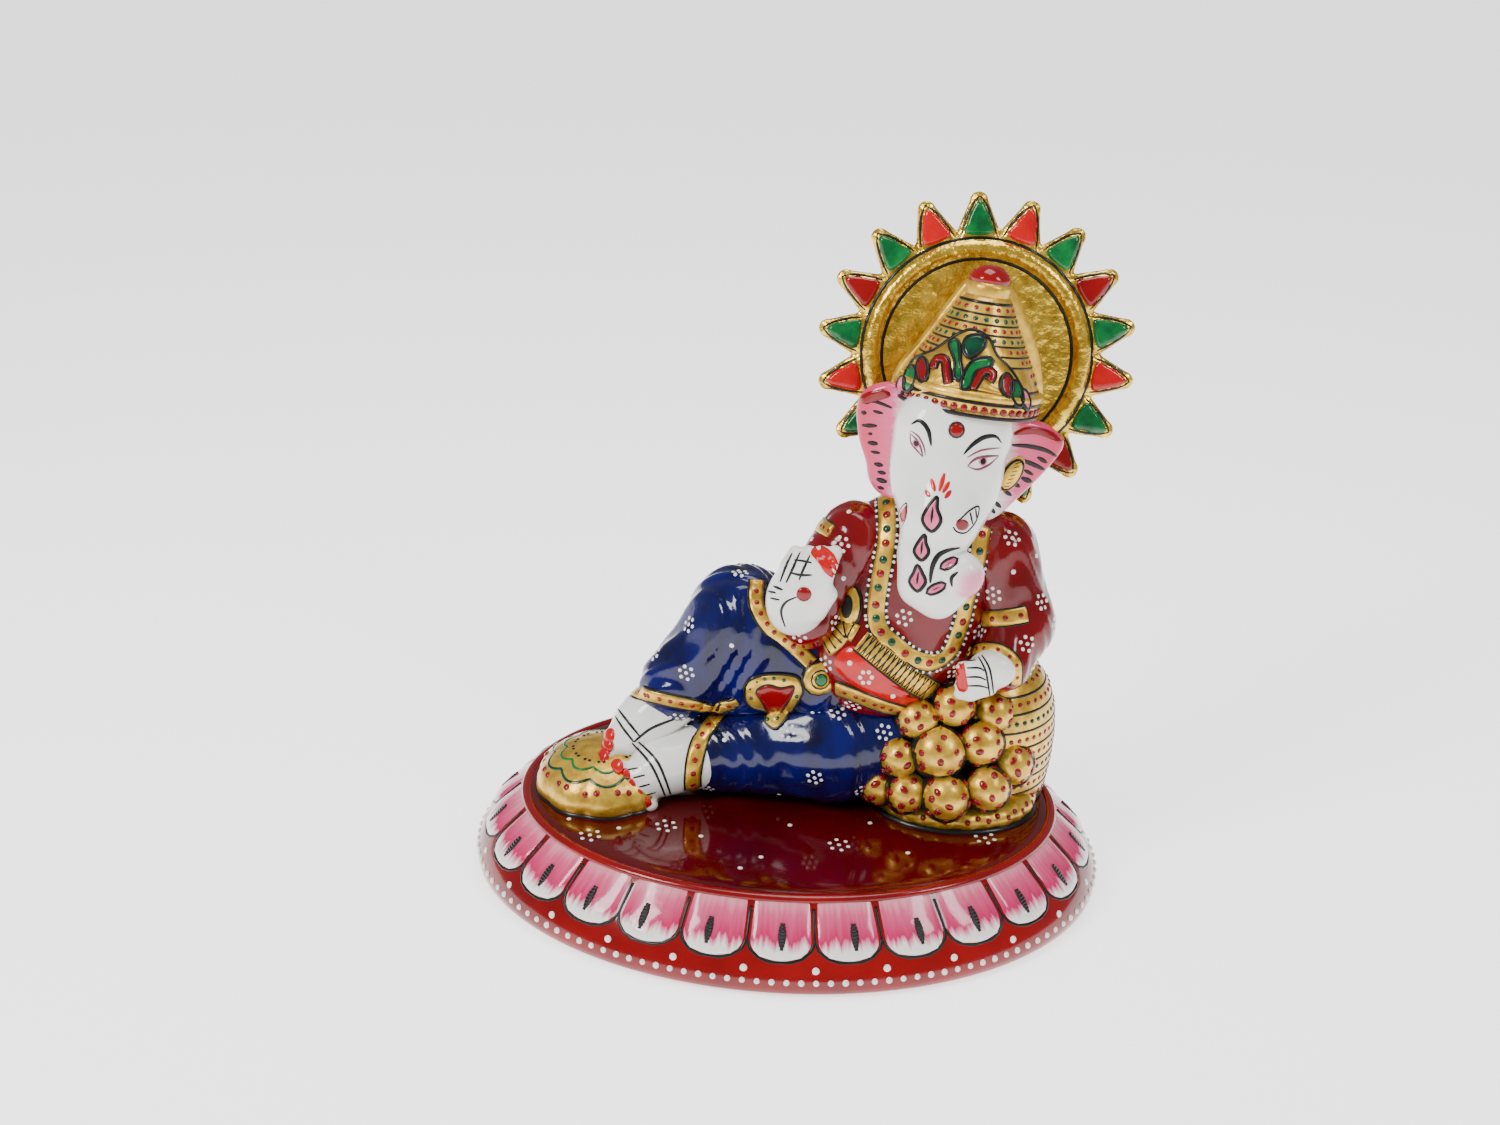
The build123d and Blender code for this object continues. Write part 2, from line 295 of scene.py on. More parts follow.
def sculpt(field, low, high, step):
    """The zero surface of a distance field on a grid, as vertices and quads (surface nets)."""
    low, high = np.array(low, float), np.array(high, float)
    count = np.ceil((high - low) / step).astype(int) + 1
    axes = [low[i] + step * np.arange(count[i]) for i in range(3)]
    d = field(np.stack(np.meshgrid(*axes, indexing="ij"), -1))
    inside = d < 0
    cells = tuple(count - 1)

    def corner(values, i, j, k):
        return values[i:i + cells[0], j:j + cells[1], k:k + cells[2]]

    total, hits = np.zeros((*cells, 3)), np.zeros(cells)
    for axis in range(3):
        for other in range(4):
            at = [0, 0, 0]
            at[(axis + 1) % 3], at[(axis + 2) % 3] = other & 1, other >> 1
            to = list(at)
            to[axis] = 1
            a, b = corner(d, *at), corner(d, *to)
            crossing = (a < 0) != (b < 0)
            t = np.where(crossing, a / np.where(crossing, a - b, 1), 0)
            spot = np.zeros((*cells, 3)) + at
            spot[..., axis] = t
            total += np.where(crossing[..., None], spot, 0)
            hits += crossing
    used = hits > 0
    index = np.full(cells, -1)
    index[used] = np.arange(used.sum())
    verts = low + step * (np.argwhere(used) + total[used] / hits[used][:, None])
    faces = []
    for axis in range(3):
        b, c = (axis + 1) % 3, (axis + 2) % 3
        start = np.take(inside, range(count[axis] - 1), axis)
        end = np.take(inside, range(1, count[axis]), axis)
        for i, j, k in np.argwhere(start != end):
            cell = [i, j, k]
            if min(cell[b], cell[c]) < 1 or cell[b] >= cells[b] or cell[c] >= cells[c]:
                continue
            quad = []
            for db, dc in ((0, 0), (-1, 0), (-1, -1), (0, -1)):
                at = list(cell)
                at[b] += db
                at[c] += dc
                quad.append(index[tuple(at)])
            faces.append(quad if inside[i, j, k] else quad[::-1])
    return relax(verts, faces, 2), faces


def cast(node, field, low, high, step, colour, slot):
    """A casting sculpted from a distance field, in place of the CAD node."""
    verts, faces = sculpt(field, low, high, step)
    make_piece(node + "_casting", verts, faces, [colour], slot, [node])


def relax(verts, faces, rounds):
    """A few rounds of smoothing towards each vertex's neighbours."""
    f = np.array(faces)
    for _ in range(rounds):
        total, hits = np.zeros_like(verts), np.zeros(len(verts))
        for k in range(4):
            a, b = f[:, k], f[:, (k + 1) % 4]
            np.add.at(total, a, verts[b])
            np.add.at(total, b, verts[a])
            np.add.at(hits, a, 1)
            np.add.at(hits, b, 1)
        verts = 0.5 * verts + 0.5 * total / np.maximum(hits, 1)[:, None]
    return verts


def curve(points, step, closed):
    """Points along a smooth curve through the given ones, about step apart."""
    points = [np.array(p, float) for p in points]
    n = len(points)
    if n == 2:
        spans = max(1, int(np.linalg.norm(points[1] - points[0]) / step))
        return [points[0] + (points[1] - points[0]) * i / spans for i in range(spans + 1)]
    found = []
    for i in range(n if closed else n - 1):
        p0 = points[(i - 1) % n] if closed or i > 0 else points[0]
        p1, p2 = points[i], points[(i + 1) % n]
        p3 = points[(i + 2) % n] if closed or i + 2 < n else p2
        spans = max(1, int(np.linalg.norm(p2 - p1) / step))
        for s in range(spans):
            t = s / spans
            found.append(0.5 * (2 * p1 + (p2 - p0) * t + (2 * p0 - 5 * p1 + 4 * p2 - p3) * t * t
                                + (3 * p1 - p0 - 3 * p2 + p3) * t ** 3))
    if not closed:
        found.append(points[-1])
    return found


def oval(cx, cy, rx, ry, tilt=0, count=8):
    """Points round an ellipse, tilted by an angle."""
    c, s = math.cos(tilt), math.sin(tilt)
    return [(cx + rx * math.cos(t) * c - ry * math.sin(t) * s,
             cy + rx * math.cos(t) * s + ry * math.sin(t) * c) for t in turns(count)]


# ---------------------------------------------------------------- raised brush work
def eye_ray(u, v):
    """The line of sight through (u, v) of the viewer's plane."""
    return EYE, (AIM + float(u) * VIEW_RIGHT + float(v) * VIEW_UP - EYE).normalized()


def caster(target, ray=eye_ray):
    """place(u, v) gives the (point, normal) where ray(u, v) first meets the target, or None."""
    def place(u, v):
        start, direction = ray(u, v)
        hit, normal, _, _ = target.ray_cast(Vector(start), Vector(direction))
        if hit is None:
            return None
        return hit, (normal if normal.dot(direction) < 0 else -normal)
    return place


class Brush:
    """Raised enamel of one group: strokes, dots and fields, as one piece with a material per colour."""

    def __init__(self, name, slot):
        self.name, self.slot = name, slot
        self.verts, self.faces, self.shades, self.colours, self.spots = [], [], [], [], []

    def add(self, verts, faces, colour):
        if colour not in self.colours:
            self.colours.append(colour)
        base = len(self.verts)
        self.verts += [tuple(v) for v in verts]
        self.faces += [[i + base for i in f] for f in faces]
        self.shades += [self.colours.index(colour)] * len(faces)

    def dot(self, colour, spot, radius, lift=0, height=0.35, oval=1, turn=0):
        """A dome of paint; oval stretches it across the turn direction."""
        if spot is None:
            return
        point, normal = spot
        right = (VIEW_RIGHT - VIEW_RIGHT.dot(normal) * normal).normalized()
        up = normal.cross(right)
        a, b = math.cos(turn) * right + math.sin(turn) * up, -math.sin(turn) * right + math.cos(turn) * up
        sides, verts = 12, []
        for share, rise in ((1, -0.35), (0.96, 0.10), (0.72, 0.75 * height * radius)):
            for k in range(sides):
                t = 2 * math.pi * k / sides
                verts.append(point + normal * (rise + lift)
                             + share * radius * (math.cos(t) * a + oval * math.sin(t) * b))
        verts.append(point + normal * (height * radius + 0.08 + lift))
        faces = grid_faces(3, sides) + [(2 * sides + k, 2 * sides + (k + 1) % sides, 3 * sides)
                                        for k in range(sides)]
        self.add(verts, faces, colour)
        self.spots.append(point)

    def ribbon(self, colour, spots, width, height, lift=0, closed=False, taper=0):
        """A raised strip along surface spots. taper is the share of the width lost at its ends."""
        count = len(spots)
        if count < 2:
            return
        verts = []
        section = ((-0.5, -0.3), (-0.47, 0.5), (-0.25, 1), (0.25, 1), (0.47, 0.5), (0.5, -0.3))
        for i, (point, normal) in enumerate(spots):
            before = spots[(i - 1) % count if closed else max(i - 1, 0)][0]
            after = spots[(i + 1) % count if closed else min(i + 1, count - 1)][0]
            side = normal.cross(after - before)
            side = side.normalized() if side.length > 1e-6 else Vector((1, 0, 0))
            share = i / (count - 1)
            thin = 1 if closed else 1 - taper * (2 * abs(share - 0.5)) ** 2
            for across, rise in section:
                level = rise * height if rise > 0 else -0.35 - lift
                verts.append(point + side * (across * width * thin) + normal * (level + lift))
        n = len(section)
        rows = count + 1 if closed else count
        faces = [((r % count) * n + c, (r % count) * n + c + 1, ((r + 1) % count) * n + c + 1,
                  ((r + 1) % count) * n + c) for r in range(rows - 1) for c in range(n - 1)]
        if not closed:
            faces += [tuple(range(n - 1, -1, -1)), tuple((count - 1) * n + c for c in range(n))]
        self.add(verts, faces, colour)

    def stroke(self, colour, place, points, width, height=0.16, lift=0, closed=False, taper=0, step=0.7,
               jump=3):
        """A ribbon through points of a placing function, broken where it would leap off the surface."""
        run, runs = [], []
        for point in curve(points, step, closed):
            spot = place(*point)
            if spot is None or (run and (spot[0] - run[-1][0]).length > jump):
                runs.append(run)
                run = []
            if spot is not None:
                run.append(spot)
        runs.append(run)
        whole = closed and len(runs) == 1
        for run in runs:
            self.ribbon(colour, run, width, height, lift, whole, taper)
        return [spot for run in runs for spot in run]

    def field(self, colour, place, outline, height=0.2, lift=0):
        """A raised coloured field inside an outline that is star-shaped about its middle."""
        points, rings = curve(outline, 0.8, True), (1, 0.95, 0.7, 0.4)
        middle = np.mean(points, axis=0)
        centre = place(*middle)
        if centre is None:
            return
        verts = []
        for k, share in enumerate(rings):
            for point in points:
                spot = place(*(middle + (point - middle) * share))
                if spot is None or (spot[0] - centre[0]).length > 25:
                    spot = centre
                verts.append(spot[0] + spot[1] * ((-0.3 if k == 0 else height) + lift))
        verts.append(centre[0] + centre[1] * (height + lift))
        n, last = len(points), len(rings) - 1
        faces = grid_faces(len(rings), n) + [(last * n + k, last * n + (k + 1) % n, len(verts) - 1)
                                             for k in range(n)]
        self.add(verts, faces, colour)

    def flower(self, target, spot, radius, dot):
        """Six white dots round a seventh."""
        point, normal = spot
        right = normal.orthogonal().normalized()
        up = normal.cross(right)
        self.dot("white", spot, dot)
        for t in turns(6):
            near, n, _, _ = target.find_nearest(point + radius * (math.cos(t) * right + math.sin(t) * up))
            if near is not None:
                self.dot("white", (near, n if n.dot(normal) > 0 else -n), dot)

    def finish(self):
        make_piece(self.name, self.verts, self.faces, self.colours, self.slot, face_colours=self.shades)


def scatter(brush, name, spacing, keep_out, clear):
    """Dot-flowers and single dots spread over a piece, away from what is painted there already."""
    target, taken = surface(name), []
    verts, faces = SURFACES[name]
    middle = Vector(np.mean(verts, axis=0))
    centres = [Vector(verts[list(face)].mean(0)) for face in faces[::7]]
    rng.shuffle(centres)
    for centre in centres:
        if centre.z < DECK_Z + 2:
            continue
        if any((centre - other).length < spacing for other in taken):
            continue
        if any((centre - other).length < clear for other in keep_out):
            continue
        near, normal, _, _ = target.find_nearest(centre)
        normal = normal if normal.dot(near - middle) > 0 else -normal
        taken.append(centre)
        if len(taken) % 2:
            brush.flower(target, (near, normal), 1.95, 0.55)
        else:
            brush.dot("white", (near, normal), 0.7)


def row(brush, colours, spots, spacing, radius, lift, offset=0):
    """Dots of alternating colours at even spacing along surface spots."""
    travelled, k = spacing * offset, 0
    for before, spot in zip(spots, spots[1:]):
        travelled += (spot[0] - before[0]).length
        if travelled >= spacing:
            travelled -= spacing
            brush.dot(colours[k % len(colours)], spot, radius, lift)
            k += 1


def edge_of(spots, shift):
    """The spots moved sideways on the surface, for a band's border."""
    moved = []
    for i, (point, normal) in enumerate(spots):
        along = spots[min(i + 1, len(spots) - 1)][0] - spots[max(i - 1, 0)][0]
        side = normal.cross(along)
        if side.length > 1e-6:
            moved.append((point + side.normalized() * shift, normal))
    return moved


def band(brush, place, points, width, colours, spacing, dot, line=0.7, beads=False):
    """A gold braid: a raised gold strip with black edges and a row of dots."""
    spots = brush.stroke("gold", place, points, width, 0.55)
    for side in (-1, 1):
        brush.ribbon("black", edge_of(spots, side * width / 2), line, 0.35)
        if beads:
            row(brush, ["white"], edge_of(spots, side * (width / 2 + 0.25)), 1.9, 0.42, 0.35, side * 0.25)
    if colours:
        row(brush, list(colours), spots, spacing, dot, 0.5)
    return spots


# ---------------------------------------------------------------- plinth
def plinth_point(angle, inset, z):
    """A point at height z on the oval that lies inset from the plinth's foot."""
    return Vector(((FOOT_RX - inset) * math.cos(angle), (FOOT_RY - inset) * math.sin(angle), z))


def oval_shell(name, profile, colour, slot, nodes=(), cap=False):
    """A shell of ovals: profile is a list of (inset, height), and cap closes the top."""
    sides = 240
    verts = [plinth_point(t, inset, z) for inset, z in profile for t in turns(sides)]
    faces = grid_faces(len(profile), sides)
    if cap:
        verts.append(Vector((0, 0, profile[-1][1])))
        last = (len(profile) - 1) * sides
        faces += [(last + k, last + (k + 1) % sides, len(verts) - 1) for k in range(sides)]
    make_piece(name, verts, faces, [colour], slot, nodes)


SLOPE = [(2.6, 9.2), (7.6, 15), (13.4, 20.6)]


def slope_place(angle, share):
    """A spot on the plinth's slope: share 0 at the petals' roots, 1 at their tips."""
    at = (1 - share) * (len(SLOPE) - 1)
    i = min(int(max(at, 0)), len(SLOPE) - 2)
    (a, za), (b, zb) = SLOPE[i], SLOPE[i + 1]
    t = at - i
    inset, z = a + (b - a) * t, za + (zb - za) * t
    here = plinth_point(angle, inset, z)
    across = plinth_point(angle + 0.01, inset, z) - here
    up = plinth_point(angle, b, zb) - plinth_point(angle, a, za)
    return here, across.cross(up).normalized()


def even_angles(count, inset, shift=0):
    """Angles round the oval at equal distances along it."""
    fine = [2 * math.pi * k / 2000 for k in range(2001)]
    lengths = np.cumsum([0] + [(plinth_point(b, inset, 0) - plinth_point(a, inset, 0)).length
                                 for a, b in zip(fine, fine[1:])])
    return [float(np.interp(((k + shift) % count) / count * lengths[-1], lengths, fine))
            for k in range(count)]


def build_plinth():
    """The base: foot, deck, lip, petals and beads."""
    oval_shell("plinth_casting", [(4.6, 3.4), (4.6, 0.9), (1, 0.8), (0.1, 1.8), (0, 3.4), (0.25, 5),
                                  (1.2, 7), (2.4, 9.2), (7.4, 15), (13.2, 20.4), (14.6, 21.4)], "crimson",
               "plinth_enamel", ["plinth"])
    oval_shell("plinth_deck", [(14.2, 21), (15.6, 21.7), (17.5, 21.95), (20, 22)], "maroon",
               "plinth_enamel", cap=True)
    oval_shell("plinth_lip", [(13.2, 20.4), (12.9, 21), (13.5, 21.9), (14.6, 22.15), (15.6, 21.9),
                              (15.9, 21.4)], "red", "plinth_enamel")
    angles = even_angles(PETALS, 8, 0.5)
    verts, faces, zone, brush_at = [], [], [], []
    lines = Brush("petal_lines", "plinth_enamel")
    rows, cols = 12, 15
    for index, middle in enumerate(angles):
        after = angles[(index + 1) % PETALS]
        before = angles[index - 1]
        wide = ((after - middle) % (2 * math.pi) + (middle - before) % (2 * math.pi)) / 4
        base = len(verts)
        for r in range(rows):
            along = r / (rows - 1)
            narrow = 1 if along < PETAL_BELLY else math.sqrt(max(0,
                                                                 1 - ((along - PETAL_BELLY) / 0.38) ** 2))
            narrow = max(narrow, 0.03)
            for c in range(cols):
                across = 2 * c / (cols - 1) - 1
                crown = math.sqrt(max(0, 1 - across ** 2))
                point, normal = slope_place(middle + across * narrow * wide * 0.97, along)
                swell = -0.3 + 1.35 * crown ** 0.7 * min(1, 0.45 + along * 0.9) * (1 if r < rows - 1 else 0)
                verts.append(point + normal * swell)
                zone.append(along)
                brush_at.append((across * narrow * 7 + index * 9.1, along * 1.1, index * 3.3))
        faces += [[base + i for i in f] for f in grid_faces(rows, cols, False)]
        left_side = (0.1, 0.4, 0.62, 0.8, 0.92, 0.99)
        rim = []
        for side, t in [(-1, t) for t in left_side] + [(1, t) for t in left_side[:1:-1]]:
            share = 1 if t < PETAL_BELLY else math.sqrt(1 - ((t - PETAL_BELLY) / 0.39) ** 2)
            rim.append((middle + side * wide * share, t))
        lines.ribbon("black", [slope_place(*p) for p in refine(rim)], 0.85, 0.3)
        heart = [slope_place(middle + 0.02 * math.sin(index), t) for t in np.linspace(0.36, 0.80, 9)]
        for k in range(8):
            lines.ribbon("black", heart[k:k + 2], 0.45 + 1.7 * math.sin(math.pi * (0.15 + 0.75 * k / 7)),
                         0.2, 1.05)
        if index % 2 == 0:
            lines.ribbon("bright_red", [slope_place(middle + wide * 0.5, -0.02),
                                        slope_place(middle, -0.03)], 0.5, 0.1)
    make_piece("lotus_petals", verts, faces, ["petal"], "plinth_enamel", zone=zone, brush=brush_at)
    for k in range(PETALS):
        gap = angles[k] + ((angles[(k + 1) % PETALS] - angles[k]) % (2 * math.pi)) / 2
        lines.dot("white", (plinth_point(gap, 1.55, 7.7), plinth_normal(gap)), 1)
    for angle in even_angles(FOOT_BEADS, 0):
        lines.dot("white", (plinth_point(angle, 0.2, 4.9), plinth_normal(angle)),
                  0.78 + 0.12 * rng.random(), height=0.6)
    lines.finish()


def refine(points):
    """Extra points between neighbours, for a ribbon that follows a curved surface."""
    found = []
    for a, b in zip(points, points[1:]):
        for s in range(3):
            found.append((a[0] + (b[0] - a[0]) * s / 3, a[1] + (b[1] - a[1]) * s / 3))
    return found + [points[-1]]


def plinth_normal(angle):
    """The way the plinth's foot faces at an angle."""
    return Vector((math.cos(angle) / FOOT_RX, math.sin(angle) / FOOT_RY, 0.004)).normalized()


# ---------------------------------------------------------------- halo
def build_halo():
    """The hammered disc with its ring, rays and enamel leaves."""
    front = Vector((0, -math.cos(HALO_LEAN), math.sin(HALO_LEAN)))
    right = Vector((1, 0, 0))
    up = front.cross(right) * -1
    up = up if up.z > 0 else -up
    roll_right = math.cos(HALO_ROLL) * right - math.sin(HALO_ROLL) * up
    roll_up = math.sin(HALO_ROLL) * right + math.cos(HALO_ROLL) * up
    to_local = np.array([roll_right, roll_up, front])

    def field(p):
        q = (p - np.array(HALO_CENTRE)) @ to_local.T
        radius = np.hypot(q[..., 0], q[..., 1])
        turn = np.arctan2(q[..., 0], q[..., 1])
        sector = 2 * math.pi / RAYS
        fold = (turn + sector / 2) % sector - sector / 2
        x, y = radius * np.sin(fold), radius * np.cos(fold)
        t = np.clip((y - DISH_R) / (RAY_TIP_R - DISH_R), 0, 1)
        half = RAY_ROOT_HALF_W + (RAY_TIP_HALF_W - RAY_ROOT_HALF_W) * t
        ray = np.hypot(x, y - DISH_R - t * (RAY_TIP_R - DISH_R)) - half
        flat = join(ray, radius - DISC_R, 2)
        dish = 3 - 1.1 * np.clip(1 - radius / DISH_R, 0, 1)
        thick = np.where(radius < DISH_R, dish, 3.4)
        slab = np.maximum(flat, np.abs(q[..., 2] + 1.6) - thick / 2)
        ring = np.hypot(radius - RING_R, q[..., 2] - 0.2) - RING_SECTION_R
        bump = np.maximum(flat + 1.4, np.abs(q[..., 2] + 0.9) - 1.9)
        return np.minimum(join(slab, ring, 0.8), bump)

    low, high = HALO_CENTRE - Vector((45, 14, 45)), HALO_CENTRE + Vector((45, 12, 45))
    cast("halo", field, low, high, 0.62, "hammered", "gold_enamel")
    target = surface("halo_casting")
    place = caster(target, lambda x, y: (HALO_CENTRE + roll_right * x + roll_up * y + front * 30, -front))
    paint = Brush("halo_enamel", "gold_enamel")
    for radius in (RING_R - RING_SECTION_R - 0.3, RING_R + RING_SECTION_R + 0.2):
        ring = [(radius * math.sin(t), radius * math.cos(t)) for t in turns(40)]
        paint.stroke("black", place, ring, 1, closed=True)
    for k, angle in enumerate(turns(RAYS)):
        s, c = math.sin(angle), math.cos(angle)

        def at(x, y):
            return place(x * c + y * s, -x * s + y * c)

        leaf = [(-3.9, 32.5), (-3.3, 34.8), (-1.8, 38.8), (0, 41.4), (1.8, 38.8), (3.3, 34.8), (3.9, 32.5),
                (0, 31.9)]
        paint.field("green" if k % 2 == 0 else "bright_red" if k % 4 == 1 else "red", at, leaf, 0.75)
        for side in (-1, 1):
            edge = [(side * 4.6, 32.3), (side * 3.8, 35.4), (side * 2, 39.8), (0, 42.3)]
            paint.stroke("black", at, edge, 0.85, taper=0.5)
    paint.finish()


# ---------------------------------------------------------------- crown
def crown_frame():
    """The crown's axis, and the directions to its right and its front."""
    axis = (CROWN_TIP - CROWN_BASE).normalized()
    right = Vector((1, 0, 0))
    right = (right - right.dot(axis) * axis).normalized()
    return axis, right, right.cross(axis)


def crown_spot(angle, height):
    """A spot on the crown's cone: angle 0 faces the viewer, positive to the right."""
    axis, right, front = crown_frame()
    hs, rs = zip(*CROWN_PROFILE)
    radius = float(np.interp(height, hs, rs))
    slope = float(np.interp(height + 0.5, hs, rs)) - float(np.interp(height - 0.5, hs, rs))
    out = math.sin(angle) * right + math.cos(angle) * front
    return CROWN_BASE + axis * height + out * radius, (out - axis * slope).normalized()


def lathe(name, base, axis, profile, colour, slot, nodes, sides=72):
    """A closed turned piece: profile is a list of (height, radius) along the axis."""
    right = axis.orthogonal().normalized()
    front = axis.cross(right)
    verts = [base + axis * h + radius * (math.cos(t) * right + math.sin(t) * front)
             for h, radius in profile for t in turns(sides)]
    faces = grid_faces(len(profile), sides)
    verts += [base + axis * profile[0][0], base + axis * profile[-1][0]]
    low, high, last = len(verts) - 2, len(verts) - 1, (len(profile) - 1) * sides
    faces += [((k + 1) % sides, k, low) for k in range(sides)]
    faces += [(last + k, last + (k + 1) % sides, high) for k in range(sides)]
    make_piece(name, verts, faces, [colour], slot, nodes)


def build_crown():
    """The tall crown with its rows of dots, its crest, knob and back plate."""
    axis, _, _ = crown_frame()
    lathe("crown_casting", CROWN_BASE, axis, [(0.4, 17.6)] + CROWN_PROFILE[2:] + [(29.5, 6)], "gold",
          "gold_enamel", ["crown"])
    cap = [(28, 5), (29, 5.9), (31.5, 6), (33, 5.7)]
    lathe("finial_gold", CROWN_BASE, axis, cap, "gold", "gold_enamel", ["crown_finial"], 48)
    dome = [(32.8, 5.75), (34.2, 5.4), (35.7, 4.5), (36.8, 3), (37.3, 1.2)]
    lathe("finial_dome", CROWN_BASE, axis, dome, "red", "gold_enamel", (), 48)
    paint = Brush("crown_enamel", "gold_enamel")
    for height, width in ((0.6, 1), (4, 0.9), (7.3, 0.9), (13.2, 0.6), (15.6, 0.6), (18, 0.6), (20.4, 0.6),
                          (22.8, 0.6), (25.2, 0.65), (28, 0.9)):
        paint.ribbon("black", [crown_spot(t, height) for t in turns(72)], width, 0.2, closed=True)
    paint.ribbon("gold", [crown_spot(t, 5.6) for t in turns(72)], 2.4, 1, closed=True)
    rows = [(2.3, "red", 44, 0.95), (9.2, "dark_green", 40, 0.7), (11.2, "red", 38, 0.7),
            (14.4, "red", 34, 0.6), (16.8, "red", 30, 0.6), (19.2, "dark_green", 26, 0.62),
            (21.6, "red", 24, 0.6), (24, "dark_green", 20, 0.7), (26.6, "red", 16, 0.65)]
    for height, colour, count, size in rows:
        for angle in turns(count):
            hidden = 7 < height < 17 and min(angle, 2 * math.pi - angle) < 1.15 * (1.2 - (height - 7) / 14)
            if not hidden:
                paint.dot(colour, crown_spot(angle, height), size)
    cone = caster(surface("crown_casting"))
    plateau = [(42.3, 46.5), (44.2, 54.7), (50.5, 58), (56, 61.8), (60.6, 63.5), (65, 61.3), (67.4, 56.4),
               (71.5, 52), (76.4, 43.3), (68.3, 45.5), (57.3, 47.4)]
    paint.field("gold", cone, plateau, 0.5)
    paint.stroke("black", cone, plateau[:-2], 0.8, lift=0.4)
    crest = [("dark_green", [(59.4, 61.2), (63.2, 61.8), (64, 58.8), (60.1, 55.6), (58.3, 58)]),
             ("green", [(54.7, 59.4), (57, 60.3), (57.6, 54.7), (58.1, 49.8), (56, 50.1), (56, 54.7)]),
             ("green", [(65.3, 55.6), (65.9, 53.6), (61.8, 52), (60, 47.6), (57.7, 47.4), (58.5, 51.5),
                        (61.2, 55)]), ("red", oval(47.5, 52.3, 1.5, 3.4)),
             ("red", oval(69.8, 48.2, 1.6, 3.2, 0.1)), ("green", oval(44.2, 50.1, 1.5, 3.4, -0.25)),
             ("green", oval(72.3, 46, 1.5, 3.6, 0.25)), ("pink", oval(41.9, 48.2, 1.1, 2.6, -0.3)),
             ("pink", oval(74.5, 44.6, 1.1, 2.8, 0.3)),]
    for colour, outline in crest:
        paint.field(colour, cone, outline, 0.4, 0.55)
        paint.stroke("black", cone, outline, 0.95, 0.3, 0.85, closed=True)
    for hook in ([(50.2, 52.6), (51.3, 55.3), (53.5, 55), (53.8, 52), (54.3, 48.7)],
                 [(65.2, 49.3), (66.1, 51.5), (63.6, 52.3), (62, 49.8), (60.6, 47.4)]):
        paint.stroke("black", cone, hook, 2.9, 0.2, 0.6)
        paint.stroke("red", cone, hook, 1.6, 0.4, 0.75)
    paint.finish()
    outline = [(24, 139), (23, 146), (29, 155), (36, 166), (41, 172), (49.5, 172), (56, 163),
               (60.5, 152), (62.5, 142), (60, 136), (42, 134)]
    verts, faces = sculpt(lambda p: plate(p, outline, 9.5, 4, 1.3), (20, 5, 131), (66, 14, 176), 0.7)
    make_piece("crown_back_plate", verts, faces, ["gold"], "gold_enamel")


# ---------------------------------------------------------------- head
TRUNK = [((38, -9, 124), 12.2), ((36.2, -14.5, 115), 10.2), ((33.6, -18.2, 105), 7.6),
         ((33, -20.5, 98), 6.5), ((36.6, -22, 94.6), 4.8), ((40.2, -22.2, 97.2), 4.6)]
KNOB = Vector((42, -22.6, 101.6))


